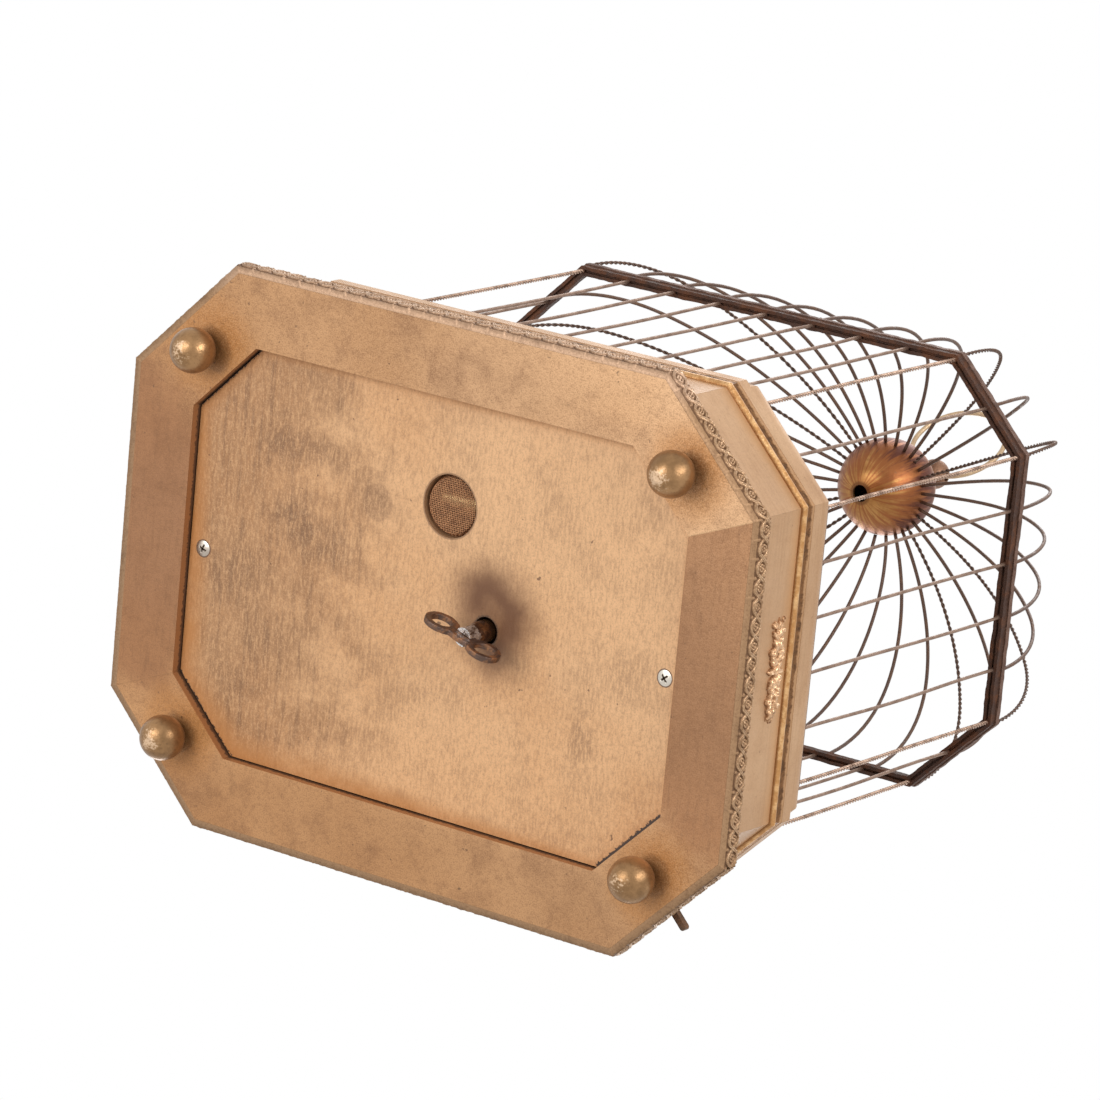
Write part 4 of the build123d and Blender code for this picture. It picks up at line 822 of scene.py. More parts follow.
LEAVES = [(0, -1.0, radians(90), 6.6, 2.0), (0, -0.5, radians(-90), 5.2, 1.8)]
BUDS = [(0, 0.4, 2.3)]
for mirror in (1, -1):
    for root, lift, angle, length, width in (
        (1.5, 0.4, 62, 5.2, 1.5), (2.6, 0.2, 28, 7.0, 1.7), (2.6, -0.6, -32, 6.2, 1.6),
        (7.0, 1.0, 48, 5.4, 1.5), (8.0, -0.4, -22, 6.6, 1.7), (8.6, 0.6, 14, 6.6, 1.5),
        (12.6, 0.2, 50, 4.8, 1.4), (13.6, -0.8, -38, 5.0, 1.5), (14.0, 0.2, 8, 6.6, 1.4),
        (18.2, 0.0, 36, 4.4, 1.3), (18.2, -0.6, -28, 4.6, 1.3), (19.0, -0.2, 2, 5.0, 1.3),
    ):
        turn = radians(angle) if mirror == 1 else pi - radians(angle)
        LEAVES.append((mirror * root, lift, turn, length, width))
    for bud in range(9):
        BUDS.append((mirror * (4.0 + 2.3 * bud), 3.4 * sin(2.6 * bud + 0.7 * mirror), 1.9 - 0.06 * bud))


def petal(x, y, root_x, root_y, angle, length, width):
    """A pointed leaf with a sunk midrib, from its root along the angle; 0 outside it."""
    dx, dy = x - root_x, y - root_y
    along = (dx * cos(angle) + dy * sin(angle)) / length
    across = (dy * cos(angle) - dx * sin(angle)) / width
    if not 0 < along < 1:
        return 0.0
    half = sin(pi * along ** 0.75) ** 0.8
    side = abs(across) / max(half, 0.01)
    if side >= 1:
        return 0.0
    return (1 - side ** 2.2) * (0.55 + 0.45 * sin(pi * along)) * (0.72 + 0.28 * min(1, side * 3))


def spray_height(x, y):
    """Relief from 0 to 1 of the spray, x and y in millimetres from its middle."""
    best = max(petal(x, y, *leaf) for leaf in LEAVES)
    for place, lift, size in BUDS:
        gap = hypot(x - place, y - lift) / size
        if gap < 1:
            best = max(best, 1.05 * sqrt(1 - gap * gap) - 0.45 * exp(-((gap - 0.15) / 0.2) ** 2))
    stem = abs(y + 0.3 - 0.9 * sin(x * 0.42))
    if abs(x) < 22 and stem < 0.9:
        best = max(best, 0.5 * sqrt(1 - (stem / 0.9) ** 2))
    return best


def add_sprays():
    bm = bmesh.new()
    relief = bm.verts.layers.float.new("relief")
    columns, rows = 176, 46
    for side in (0, 2, 4, 6):
        start, end = side_ends(BASE, WALL_INSET, side)
        middle, along = (start + end) / 2, (end - start).normalized()
        outwards = along.cross(UP)

        def place(row, column):
            x = (column / (columns - 1) - 0.5) * SPRAY_LENGTH
            y = (row / (rows - 1) - 0.5) * SPRAY_HEIGHT
            seed = Vector((x * 160 + side * 11, y * 160, 0))
            shift = noise.noise_vector(seed) * 0.8
            height = spray_height(x / MM + shift.x, y / MM + shift.y)
            height *= 0.85 + 0.3 * noise.noise(seed * 3.1)
            height = max(0.0, min(1.0, height + 0.07 * noise.noise(seed * 9)))
            edge = min(1.0, 8 * min(0.5 - abs(x) / SPRAY_LENGTH, 0.5 - abs(y) / SPRAY_HEIGHT))
            position = middle + along * x + outwards * (-0.15 * MM + SPRAY_RELIEF * 0.97 * height * edge)
            position.z = SPRAY_Z + y
            return position, height * edge

        relief_sheet(bm, relief, rows, columns, place)
    bmesh.ops.recalc_face_normals(bm, faces=bm.faces)
    piece = new_object("frieze_sprays", bm, spray_gilt, "case")
    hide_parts("frieze_ornaments")


add_sprays()


# ---- oval-head cross-recess screws ----

def add_screws():
    bm = bmesh.new()
    shank_radius, dome, rings, around = 1.75 * MM, 0.8 * MM, 26, 72
    cover_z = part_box("bottom_cover")[0].z
    for centre, spin in zip(SCREWS, (0.35, 0.9)):
        grid, sunk = [], set()
        for ring in range(rings):
            radius = SCREW_HEAD * ring / (rings - 1)
            circle = []
            for k in range(around):
                angle = 2 * pi * k / around
                x, y = radius * cos(angle), radius * sin(angle)
                u = abs(x * cos(spin) + y * sin(spin)) / MM
                v = abs(y * cos(spin) - x * sin(spin)) / MM
                wall = max(0.0, min(1.0, (0.42 - min(u, v)) / 0.14))
                depth = 1.5 * wall * max(0.0, min(1.0, (2.1 - max(u, v)) / 0.9))
                height = dome * (1 - (radius / SCREW_HEAD) ** 2)
                vert = bm.verts.new(centre + Vector((x, y, cover_z - height + depth * MM)))
                circle.append(vert)
                if depth > 0.25 or ring > rings - 3:
                    sunk.add(vert)
            grid.append(circle)
        for z in (cover_z + 2.0 * MM, SCREW_HIGH.z - shank_radius):
            spokes = (swung(X_AXIS, Y_AXIS, 2 * pi * k / around) * shank_radius for k in range(around))
            grid.append([bm.verts.new(centre + spoke + UP * z) for spoke in spokes])
        # dark metal in the cross recess and round the rim of each head: painted shade, with some dirt
        for face in skin(bm, grid):
            face.material_index = int(sunk.issuperset(face.verts))
        point = bm.verts.new(Vector((centre.x, centre.y, SCREW_HIGH.z)))
        for k in range(around):
            bm.faces.new((grid[-1][k], grid[-1][(k + 1) % around], point))
    bmesh.ops.remove_doubles(bm, verts=bm.verts, dist=1e-7)
    bmesh.ops.recalc_face_normals(bm, faces=bm.faces)
    piece = new_object("cross_head_screws", bm, zinc, "case", smooth_angle=50)
    piece.data.materials.append(dark_iron)
    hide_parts("cover_screws")


add_screws()


# ---- woven wire behind the sound hole ----

def add_sound_mesh():
    """Two sets of waved wires, pressed into the hole by the bulge."""
    bm = bmesh.new()
    low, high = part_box("sound_mesh")
    centre, reach = (low + high) / 2, (high.x - low.x) / 2
    pitch, radius = 0.92 * MM, 0.2 * MM
    bulge, bulge_reach, bulge_slope = 3.6 * MM, 13.9 * MM, 1.8 * MM
    lines = int(reach / pitch)
    for lengthways in (True, False):
        for line in range(-lines, lines + 1):
            offset = line * pitch
            half = sqrt(max(0.0, reach * reach - offset * offset))
            points = []
            steps = int(2 * half / (pitch / 4))
            if steps < 3:
                continue
            for step in range(steps + 1):
                run = -half + 2 * half * step / steps
                wave = radius * 0.95 * cos(pi * run / pitch) * (1 if line % 2 else -1)
                wave = wave if lengthways else -wave
                skew = 0.25 * MM * noise.noise(Vector((run * 90, offset * 90, 4.0 + lengthways)))
                flat = (run, offset + skew) if lengthways else (offset + skew, run)
                press = bulge * max(0.0, min(1.0, (bulge_reach - hypot(run, offset)) / bulge_slope))
                points.append(centre + Vector((flat[0], flat[1], wave - press)))
            tube(bm, points, radius, 5)
    piece = new_object("woven_sound_mesh", bm, mesh_metal, "case")
    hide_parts("sound_mesh")


add_sound_mesh()


# ---- cage wires ----

WIRE, DOME_WIRE = 0.8 * MM, 0.85 * MM    # radius of the wires
DOME_LEAN = Vector((0, -3, 0)) * MM      # how far the dome wires are pushed sideways at mid height
GROUPS = {
    "long_side": ((0, 4), LONG_GAPS),
    "short_side": ((2, 6), SHORT_GAPS),
    "chamfer": ((1, 3, 5, 7), CHAMFER_GAPS),
}


def hand_bent(points, seed, size):
    """The points with a slight hand-made wander that dies out at both ends."""
    made = []
    for i, point in enumerate(points):
        hold = sin(pi * i / (len(points) - 1)) ** 0.6 if 0 < i < len(points) - 1 else 0.0
        made.append(point + wobble(seed, point, 9, size) * hold)
    return made


def wall_path(point, seed, size=1.3 * MM):
    low, high = point.copy(), point.copy()
    low.z, high.z = SILL_TOP - 1.5 * MM, BAND_LOW + 0.6 * MM
    return hand_bent(resample([low, high], 6 * MM), seed, size)


def dome_path(point, seed, size=0.9 * MM):
    """From the hoop up through two tangent arcs to the ball's side."""
    run = hypot(point.x, point.y)
    outwards = Vector((point.x, point.y, 0)).normalized()
    lower = (DOME_HEIGHT - (sqrt(2) - 1) * run) / (2 - sqrt(2))
    upper = lower + (run - lower) * sqrt(2)
    shift = (upper - lower) / sqrt(2)
    end_run = sqrt(BALL_RADIUS ** 2 - BALL_RISE ** 2) - 0.3 * MM
    end_angle = acos((end_run - (run - lower - shift)) / upper)
    points = [point + UP * (HOOP_TOP - 0.8 * MM)]
    for middle_run, middle_z, radius, first, last, steps in (
        (run - lower, HOOP_TOP, lower, 0.0, pi / 4, 14),
        (run - lower - shift, HOOP_TOP - shift, upper, pi / 4, end_angle, 24),
    ):
        for step in range(1, steps + 1):
            angle = first + (last - first) * step / steps
            points.append(outwards * middle_run + UP * middle_z + swung(outwards, UP, angle) * radius)
    points = [p + DOME_LEAN * sin(pi * i / (len(points) - 1)) for i, p in enumerate(points)]
    return hand_bent(points, seed, size)


def add_wires():
    """Three groups of straight wires and the twisted pairs at the corners, for the walls and for the dome."""
    seed = 0
    for group, (sides, gaps) in GROUPS.items():
        walls, domes = bmesh.new(), bmesh.new()
        for side in sides:
            for point in side_points(CAGE, 0, side, gaps):
                seed += 1
                tube(walls, wall_path(point, seed), WIRE, 10)
            for point in side_points(CAGE, -HOOP_OFFSET, side, gaps):
                seed += 1
                tube(domes, resample(dome_path(point, seed), 3 * MM), DOME_WIRE, 10)
        for bm, name, material, node in (
            (walls, group + "_bent_wires", wall_wire_metal, group + "_wires"),
            (domes, "dome_" + group + "_bent_wires", dome_wire_metal, "dome_" + group + "_wires"),
        ):
            piece = new_object(name, bm, material, "case")
            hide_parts(node)
    walls, domes = bmesh.new(), bmesh.new()
    for point in outline_corners(CAGE):
        seed += 1
        twisted_pair(walls, wall_path(point, seed, 0.9 * MM), 0.5 * MM, 4.0 * MM, seed)
    for point in outline_corners(CAGE, -HOOP_OFFSET):
        seed += 1
        twisted_pair(domes, dome_path(point, seed), 0.45 * MM, 6.6 * MM, seed)
    for bm, name, material, node in (
        (walls, "twisted_corner_wires", twist_metal, "corner_wires"),
        (domes, "dome_twisted_corner_wires", dome_wire_metal, "dome_corner_wires"),
    ):
        piece = new_object(name, bm, material, "case")
        piece.data.materials.append(core_metal)
        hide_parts(node)


add_wires()


# ---- shoulder channel and dome hoop, uneven, with solder at the wires ----

def strip_round(bm, outline, inset, section, seed, rough):
    """Sweeps a closed section (outwards, up) round the outline, mitred, with an uneven surface."""
    loops = []
    for side in range(8):
        start, end = side_ends(outline, inset, side)
        outwards = (end - start).normalized().cross(UP)
        before = (start - side_ends(outline, inset, side - 1)[0]).normalized()
        steps = max(2, int((end - start).length / (1.4 * MM)))
        corner_out = (outwards + before.cross(UP)).normalized() / cos(radians(22.5))
        for step in range(steps):
            spine = start.lerp(end, step / steps)
            push = corner_out if step == 0 else outwards
            ring = []
            for reach, rise in section:
                seat = spine + push * reach + UP * rise
                dent = noise.noise(seat * 190 + Vector((seed, 0, 0))) * rough
                dent += noise.noise(seat * 620 + Vector((0, seed, 0))) * rough * 0.5
                ring.append(bm.verts.new(seat + push * dent + UP * dent * 0.6))
            loops.append(ring)
    skin(bm, loops + loops[:1])


def wire_spots(inset):
    """Where the wires stand along the outline, in plan."""
    spots = list(outline_corners(CAGE, inset))
    for sides, gaps in GROUPS.values():
        for side in sides:
            spots += side_points(CAGE, inset, side, gaps)
    return spots


def add_bands():
    """The grooved channel at the shoulder, and the hoop above it that the dome wires are soldered to."""
    band = bmesh.new()
    half, groove = 2.25 * MM, 0.65 * MM
    low, high = BAND_LOW + 0.1 * MM, BAND_TOP
    section = [
        (-half, low), (-groove, low), (-groove * 0.8, low + 1.3 * MM), (groove * 0.8, low + 1.3 * MM),
        (groove, low), (half, low), (half * 0.96, (low + high) / 2), (half, high), (0, high), (-half, high),
        (-half * 0.96, (low + high) / 2),
    ]
    strip_round(band, CAGE, 0, section, 3.0, 0.28 * MM)
    for i, spot in enumerate(wire_spots(0)):
        lump(band, spot + UP * (low + 0.5 * MM), 1.25 * MM, i, (1, 1, 0.9))
    piece = new_object("grooved_shoulder_band", band, band_metal, "case", smooth_angle=45)
    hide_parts("shoulder_band")

    hoop = bmesh.new()
    half = 1.35 * MM
    low, high = HOOP_LOW, HOOP_TOP - 0.15 * MM
    section = [
        (-half, low), (half, low), (half * 1.04, (low + high) / 2), (half, high), (0, high + 0.1 * MM),
        (-half, high), (-half, (low + high) / 2),
    ]
    strip_round(hoop, CAGE, -HOOP_OFFSET, section, 9.0, 0.24 * MM)
    for i, spot in enumerate(wire_spots(-HOOP_OFFSET)):
        lump(hoop, spot + UP * (high - 0.1 * MM), 1.35 * MM, 50 + i, (1, 1, 0.75))
    piece = new_object("soldered_dome_hoop", hoop, hoop_metal, "case", smooth_angle=45)
    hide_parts("dome_hoop")


add_bands()


# ---- carrying ring, bent anew where the CAD ring hangs, and key bow, hand-forged from its CAD shape ----

def forged_copy(source, name, voxel, rounding, dents, seed):
    """A copy of the CAD shape with rounded edges and a slightly dented surface."""
    obj = bpy.data.objects.new(name, nodes[source].data.copy())
    bpy.context.scene.collection.objects.link(obj)
    remesh = obj.modifiers.new("remesh", "REMESH")
    remesh.mode = "VOXEL"
    remesh.voxel_size = voxel
    soften = obj.modifiers.new("soften", "SMOOTH")
    soften.factor = 0.5
    soften.iterations = rounding
    bpy.context.view_layer.update()
    mesh = bpy.data.meshes.new_from_object(obj.evaluated_get(bpy.context.evaluated_depsgraph_get()))
    bpy.data.objects.remove(obj)
    bm = bmesh.new()
    bm.from_mesh(mesh)
    bpy.data.meshes.remove(mesh)
    bm.normal_update()
    for vert in bm.verts:
        dent = noise.noise(vert.co * 350 + Vector((seed, 0, 0))) + 0.4 * noise.noise(vert.co * 1100)
        vert.co += vert.normal * dent * dents
    return bm


def add_key_bow():
    """The bow, its web broader, its loops drawn out thinner round larger eyes."""
    bm = forged_copy("key_bow", "bow_raw", 0.3 * MM, 9, 0.1 * MM, 1)
    low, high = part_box("key_bow")
    centre = (low + high) / 2
    lobe = (high.z - low.z) / 2
    along = Vector((cos(radians(17.5)), sin(radians(17.5)), 0))
    thick = along.cross(UP)
    reach = (hypot(high.x - low.x, high.y - low.y) / 2 - lobe) * 0.98
    for vert in bm.verts:
        place = vert.co - centre
        depth = place.dot(thick)
        vert.co -= thick * depth * 0.1
        vert.co.z += place.z * 0.45 * max(0.0, 1 - (place.dot(along) / (0.6 * reach)) ** 2)
        for hand in (1, -1):
            spoke = place - thick * depth - along * reach * hand
            radius = spoke.length
            if 0 < radius < lobe * 1.05 and spoke.dot(along) * hand > -lobe * 0.8:
                vert.co += spoke / radius * max(0.0, lobe - radius) * 0.15
    bow = new_object("forged_key_bow", bm, rusty_iron, "winding")
    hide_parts("key_bow")


add_key_bow()


def add_ring():
    """The ring, hand-bent, tilted as it hangs in the photograph."""
    bm = bmesh.new()
    low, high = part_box("carrying_ring")
    wire, mean, steps = 1.2 * MM, 23.3 * MM, 120
    tilt = radians(32)
    up = Vector((0, -sin(tilt), cos(tilt)))
    centre = (low + high) / 2
    points = []
    for k in range(steps):
        angle = 2 * pi * k / steps
        radius = mean + 0.25 * MM * noise.noise(Vector((cos(angle) * 2, sin(angle) * 2, 5)))
        points.append(centre + swung(X_AXIS, up, angle) * radius)
    tube(bm, points, wire, 12, closed=True)
    piece = new_object("bent_carrying_ring", bm, pale_brass, "ring")
    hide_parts("carrying_ring")


add_ring()


# ---- bird: feathers laid in rows over the body, folded wings, fanned tail ----

BIRD_PITCH = radians(38)
BIRD_AXIS = Vector((cos(BIRD_PITCH), 0, sin(BIRD_PITCH)))
BIRD_BACK = Vector((-sin(BIRD_PITCH), 0, cos(BIRD_PITCH)))
BIRD_CENTRE = Vector((0, 0, (105 + 74 + 3 + 11 + 29 / 3))) * MM
BIRD_HALF, BIRD_RADIUS = 32 * MM, 14.5 * MM
HEAD_CENTRE = BIRD_CENTRE + Vector((22, 0, 20)) * MM
HEAD_RADIUS = 10.5 * MM
JAW_ROOM = 1.0 * MM           # behind the lower beak, so that it can drop open


def feathered_mesh():
    """An empty mesh, and the layer that says how far along its feather each vertex is."""
    bm = bmesh.new()
    return bm, bm.verts.layers.float.new("along")


def add_feather(bm, layer, root, along, out, length, width, curl, lift=0.0):
    """One feather: a pointed, cupped sheet with a raised shaft."""
    across = along.cross(out).normalized()
    rows, columns = 7, 5
    grid = []
    for row in range(rows):
        share = row / (rows - 1)
        half = width * (0.35 + 0.65 * sin(pi * min(0.5, share * 0.9 + 0.05)))
        half *= sqrt(max(0.02, 1 - share ** 5))
        line = []
        for column in range(columns):
            side = -1 + 2 * column / (columns - 1)
            shaft = 0.06 * width if column == 2 else 0
            height = lift * share + curl * share * share - 0.22 * width * side * side + shaft
            tip = -0.12 * length * side * side * share
            vert = bm.verts.new(root + along * (length * share + tip) + across * half * side + out * height)
            vert[layer] = share
            line.append(vert)
        grid.append(line)
    skin(bm, grid, closed=False)


def ovoid(bm, layer, centre, axis, half, radius, share_range=(0.0, 1.0), rings=24, around=32):
    """A smooth egg form under the feathers; half is its half length along the axis."""
    side = axis.cross(Y_AXIS).normalized()
    other = axis.cross(side)
    grid = []
    for ring in range(rings + 1):
        share = share_range[0] + (share_range[1] - share_range[0]) * ring / rings
        station = -cos(pi * share)
        girth = sqrt(max(0.0, 1 - station * station))
        line = []
        for k in range(around):
            spoke = swung(side, other, 2 * pi * k / around) * radius * max(girth, 0.02)
            vert = bm.verts.new(centre + axis * half * station + spoke)
            vert[layer] = 0.3
            line.append(vert)
        grid.append(line)
    skin(bm, grid)
    bm.faces.new(grid[0])
    bm.faces.new(grid[-1])


def feather_spots(rows, first, span, most, least, up):
    """Station from -1 to 1, girth and outward direction of each feather, in staggered rows from the front."""
    for row in range(rows):
        station = -cos(pi * (first - span * row / (rows - 1)))
        girth = sqrt(1 - station * station)
        count = max(least, int(most * girth))
        for k in range(count):
            yield station, girth, swung(up, Y_AXIS, 2 * pi * (k + 0.5 * (row % 2)) / count)


def add_body_feathers():
    bm, layer = feathered_mesh()
    ovoid(bm, layer, BIRD_CENTRE, BIRD_AXIS, BIRD_HALF * 0.9, BIRD_RADIUS * 0.86, (0.12, 0.86))
    for station, girth, radial in feather_spots(17, 0.84, 0.74, 24, 6, BIRD_BACK):
        root = BIRD_CENTRE + BIRD_AXIS * BIRD_HALF * 0.9 * station + radial * BIRD_RADIUS * 0.84 * girth
        slope = BIRD_RADIUS * station / (BIRD_HALF * max(girth, 0.2))
        along = (-BIRD_AXIS + radial * slope * 0.8).normalized()
        out = squared(radial, along)
        along = (along + noise.noise_vector(root * 900) * 0.12).normalized()
        add_feather(bm, layer, root, along, out, 6.4 * MM, 2.1 * MM, -0.3 * MM, 0.7 * MM)
    piece = new_object("feathered_body", bm, orange_feathers, "case")
    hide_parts("bird_body")


def add_wings():
    bm, layer = feathered_mesh()
    shoulder = BIRD_CENTRE + BIRD_AXIS * 13 * MM + BIRD_BACK * 4.5 * MM
    for hand in (1, -1):
        for rank, (count, length, width, drop, out_by) in enumerate((
            (7, 40, 2.6, 8.0, 12.6), (8, 25, 2.6, 7.2, 13.4), (8, 15, 2.5, 5.6, 13.9), (6, 8, 2.3, 3.6, 13.9),
        )):
            for k in range(count):
                share = k / (count - 1)
                fan = 0.26 * (share - 0.75)
                out = (Y_AXIS * hand * 0.96 + BIRD_BACK * (0.28 - 0.35 * (1 - share))).normalized()
                along = (-BIRD_AXIS + BIRD_BACK * (fan + 0.06) - Y_AXIS * hand * 0.16).normalized()
                root = shoulder + BIRD_BACK * (share - 0.75) * drop * MM
                root += out * (out_by - 0.105 * k) * MM * 0.86
                root -= BIRD_AXIS * (1.6 * rank + 1.5 * share) * MM
                add_feather(bm, layer, root + out * (0.35 * rank + 0.1 * k) * MM, squared(along, out), out,
                            length * (0.72 + 0.28 * share) * MM, width * MM, -0.8 * MM)
    piece = new_object("folded_wings", bm, brown_feathers, "case")


def add_head():
    bm, layer = feathered_mesh()
    ovoid(bm, layer, HEAD_CENTRE, X_AXIS, HEAD_RADIUS * 0.93, HEAD_RADIUS * 0.90, (0.0, 1.0), 20, 28)
    for station, girth, radial in feather_spots(9, 0.9, 0.72, 22, 7, UP):
        root = HEAD_CENTRE + X_AXIS * HEAD_RADIUS * 0.92 * station + radial * HEAD_RADIUS * 0.88 * girth
        along = (-X_AXIS + radial * station / max(girth, 0.3)).normalized()
        out = (radial - along * radial.dot(along) + X_AXIS * station * 0.6).normalized()
        add_feather(bm, layer, root, along, squared(out, along), 4.0 * MM, 1.7 * MM, -0.6 * MM, 0.35 * MM)
    jaw_low, jaw_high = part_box("bird_beak")
    for vert in bm.verts:
        beside = abs(vert.co.y) < jaw_high.y + 0.7 * MM
        if beside and jaw_low.z - 2.5 * MM < vert.co.z < jaw_high.z + 0.3 * MM:
            vert.co.x = min(vert.co.x, jaw_low.x - JAW_ROOM)
    head = new_object("feathered_head", bm, orange_feathers, "head")
    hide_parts("bird_head")


def add_upper_beak():
    """A half cone with a ridge, drooping a little towards its tip."""
    bm = bmesh.new()
    rows, around = 14, 20
    root_x = HEAD_CENTRE.x + HEAD_RADIUS - 2.2 * MM
    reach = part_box("bird_head")[1].x - root_x
    grid = []
    for row in range(rows):
        share = row / (rows - 1)
        half = 3.1 * MM * (1 - share) ** 0.85 + 0.3 * MM
        droop = max(-0.9 * MM * share ** 3, -0.25 * MM)
        ring = []
        for k in range(around):
            angle = pi * k / (around - 1)
            ridge = 1.0 + 0.18 * sin(angle) ** 6
            z = HEAD_CENTRE.z + half * 0.95 * sin(angle) * ridge + droop
            ring.append(bm.verts.new(Vector((root_x + reach * share, half * cos(angle), z))))
        grid.append(ring)
    skin(bm, grid)
    bm.faces.new(grid[-1])
    bmesh.ops.recalc_face_normals(bm, faces=bm.faces)
    upper = new_object("upper_beak", bm, horn, "head", smooth_angle=50)


def add_eyes():
    for hand in (1, -1):
        side = "left" if hand > 0 else "right"
        normal = Vector((0.42, hand * 0.80, 0.30)).normalized()
        place = HEAD_CENTRE + normal * HEAD_RADIUS * 0.97
        bm = bmesh.new()
        bmesh.ops.create_uvsphere(bm, u_segments=24, v_segments=16, radius=1.55 * MM)
        bmesh.ops.translate(bm, verts=bm.verts, vec=place)
        eye = new_object("bird_eye_" + side, bm, eye_glass, "head")
        bm = bmesh.new()
        flat = normal.orthogonal().normalized()
        other = normal.cross(flat)
        rim = place + normal * 0.25 * MM
        circle = [rim + swung(flat, other, 2 * pi * k / 28) * 1.6 * MM for k in range(28)]
        tube(bm, circle, 0.28 * MM, 6, closed=True)
        lid = new_object("bird_eyelid_" + side, bm, horn, "head")


def add_tail():
    """Nine long feathers in a fan, and short ones over their roots."""
    bm, layer = feathered_mesh()
    drop = radians(34)
    axis = Vector((-cos(drop), 0, -sin(drop)))
    back = Vector((-sin(drop), 0, cos(drop)))
    socket = BIRD_CENTRE - BIRD_AXIS * (0.72 * BIRD_HALF + 0.8 * MM)
    count = 9
    for k in range(count):
        side = -1 + 2 * k / (count - 1)
        turn = 0.13 * side
        along = swung(axis, Y_AXIS, turn).normalized()
        root = socket + axis * 0.6 * MM + Y_AXIS * side * 2.4 * MM + back * (0.9 - 1.1 * abs(side)) * MM
        length = (39.0 - 3.0 * (1 - abs(side))) * MM * cos(turn * 0.8)
        add_feather(bm, layer, root, along, back, length, 2.4 * MM, -0.4 * MM)
    ovoid(bm, layer, socket + axis * 4.2 * MM, axis, 4.0 * MM, 3.2 * MM, rings=12, around=20)
    for row in range(3):
        for k in range(8):
            radial = swung(back, Y_AXIS, 2 * pi * (k + 0.5 * (row % 2)) / 8)
            root = socket + axis * (1.4 + 1.7 * row) * MM + radial * 2.5 * MM
            along = (axis + radial * 0.05).normalized()
            add_feather(bm, layer, root, along, radial, 6.5 * MM, 1.8 * MM, -0.6 * MM)
    piece = new_object("fanned_tail", bm, brown_feathers, "tail")
    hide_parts("bird_tail")


add_body_feathers()
add_wings()
add_head()
add_upper_beak()
add_eyes()
add_tail()


# ---- camera at the photograph's viewing angle ----

def add_camera():
    camera = bpy.data.objects.new("photo_camera", bpy.data.cameras.new("photo_camera"))
    bpy.context.scene.collection.objects.link(camera)
    right = Vector((0.80431, -0.09085, 0.58722))
    up = Vector((-0.21772, -0.96457, 0.14898))
    back = Vector((0.55288, -0.24767, -0.79560))
    turn = Matrix((right, up, back)).transposed().to_4x4()
    camera.matrix_world = Matrix.Translation((1.5467, -0.7040, -2.1132)) @ turn
    camera.data.sensor_width = 36
    camera.data.lens = 206.6
    camera.data.clip_start, camera.data.clip_end = 0.1, 20
    bpy.context.scene.camera = camera
    return camera


# ---- studio: pale floor seen from above only, white backdrop, soft lamps ----

def add_floor():
    """A pale sheet under the feet that fades out into the backdrop."""
    bm = bmesh.new()
    bmesh.ops.create_grid(bm, x_segments=1, y_segments=1, size=4.0)
    mesh = bpy.data.meshes.new("floor")
    bm.to_mesh(mesh)
    bm.free()
    floor_sheet = bpy.data.objects.new("floor", mesh)
    floor_sheet.location.z = -0.0002
    bpy.context.scene.collection.objects.link(floor_sheet)
    paint = Paint("pale_floor", Roughness=0.9)
    paint.shader.inputs["Base Color"].default_value = (0.82, 0.82, 0.81, 1)
    clear = paint.add("ShaderNodeBsdfTransparent")
    below = paint.add("ShaderNodeNewGeometry", "Backfacing")
    faded = paint.math("MAXIMUM", below, paint.distance((0, 0)).ramp(0.4, 1.2))
    solid = Value(paint, paint.shader.outputs[0])
    choice = paint.add("ShaderNodeMixShader", 0, {0: faded, 1: solid, 2: clear})
    paint.put(paint.tree.nodes["Material Output"].inputs["Surface"], choice)
    mesh.materials.append(paint.material)
    for rays in ("diffuse", "glossy", "transmission", "shadow"):
        setattr(floor_sheet, "visible_" + rays, False)


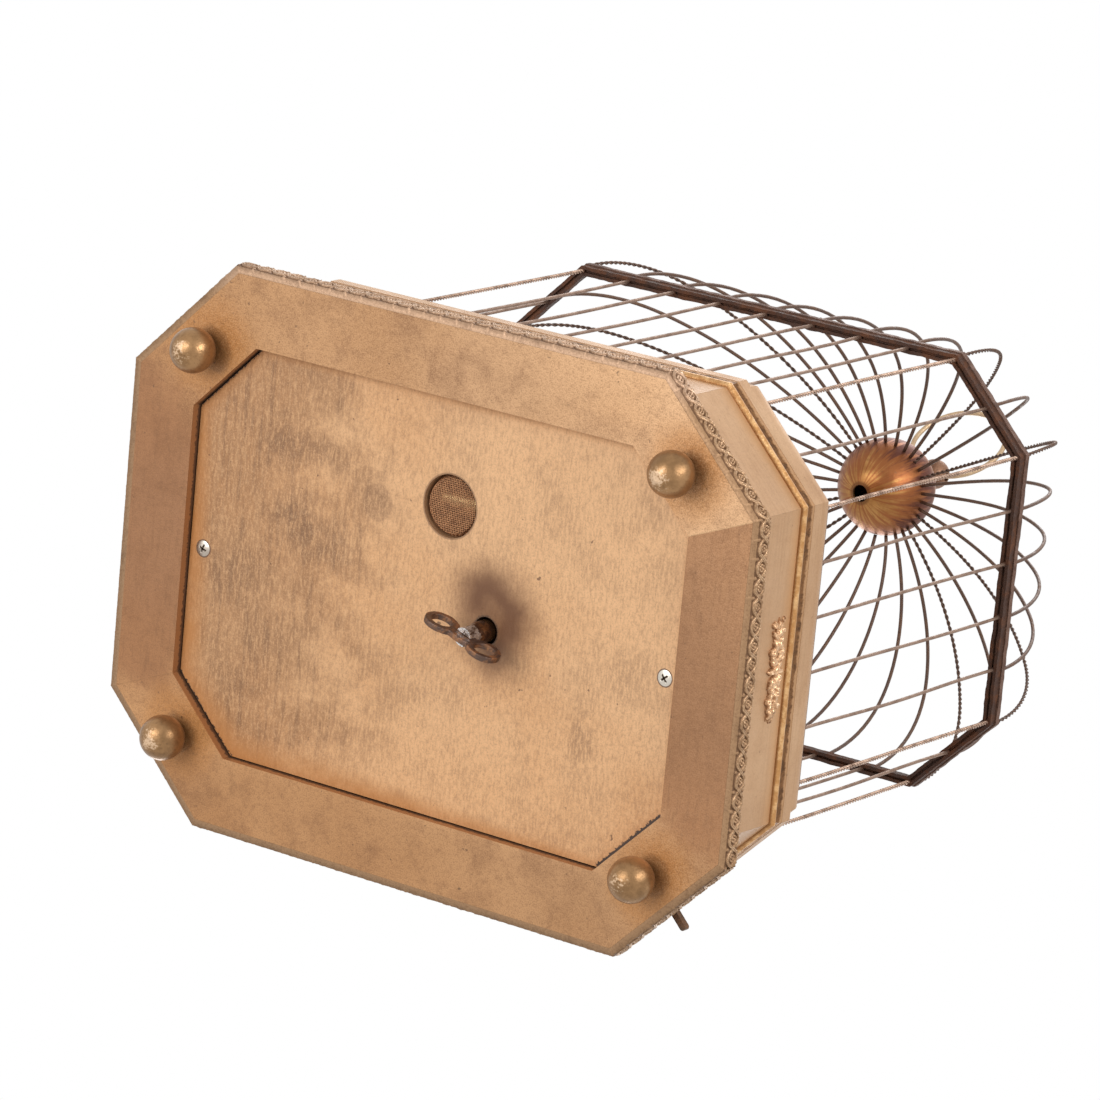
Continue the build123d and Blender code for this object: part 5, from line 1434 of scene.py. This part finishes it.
def add_world():
    """Soft ambient light, and plain white where the camera, a mirror or glass sees the backdrop."""
    world = bpy.data.worlds.new("studio")
    bpy.context.scene.world = world
    world.use_nodes = True
    tree = world.node_tree
    light, white = tree.nodes["Background"], tree.nodes.new("ShaderNodeBackground")
    for background, strength in ((light, 0.45), (white, 1.0)):
        background.inputs["Color"].default_value = (1, 1, 1, 1)
        background.inputs["Strength"].default_value = strength
    path = tree.nodes.new("ShaderNodeLightPath")
    seen = path.outputs["Is Camera Ray"]
    for other in ("Is Glossy Ray", "Is Transmission Ray"):
        either = tree.nodes.new("ShaderNodeMath")
        either.operation = "MAXIMUM"
        tree.links.new(seen, either.inputs[0])
        tree.links.new(path.outputs[other], either.inputs[1])
        seen = either.outputs[0]
    choice = tree.nodes.new("ShaderNodeMixShader")
    for source, socket in zip((seen, light.outputs[0], white.outputs[0]), choice.inputs):
        tree.links.new(source, socket)
    tree.links.new(choice.outputs[0], tree.nodes["World Output"].inputs["Surface"])


def add_lamp(name, place, target, size, power):
    lamp = bpy.data.lights.new(name, "AREA")
    lamp.shape = "RECTANGLE"
    lamp.size, lamp.size_y = size
    lamp.energy = power
    obj = bpy.data.objects.new(name, lamp)
    bpy.context.scene.collection.objects.link(obj)
    obj.location = place
    obj.rotation_mode = "QUATERNION"
    obj.rotation_quaternion = (Vector(target) - Vector(place)).to_track_quat("-Z", "Y")


def add_lamps(camera):
    """Two lamps two metres from the middle by the camera's own directions, one above and one behind."""
    middle = Vector((0, 0, 0.2))
    look = camera.matrix_world.to_3x3()
    left, right = (
        middle + (look.col[0] * right + look.col[1] * up + look.col[2] * back).normalized() * 2.0
        for right, up, back in ((-0.66, 0.24, 0.69), (0.68, 0.26, 0.69))
    )
    add_lamp("left_softbox", left, middle, (1.3, 1.1), 21.5)
    add_lamp("right_softbox", right, middle, (0.8, 1.4), 25)
    add_lamp("top_softbox", Vector((-0.5, -0.9, 2.0)), middle, (1.6, 1.2), 16)
    add_lamp("back_softbox", Vector((-0.9, 1.5, 1.4)), middle, (1.2, 1.2), 10)


add_floor()
add_world()
add_lamps(add_camera())
bpy.context.scene.view_settings.view_transform = "Standard"
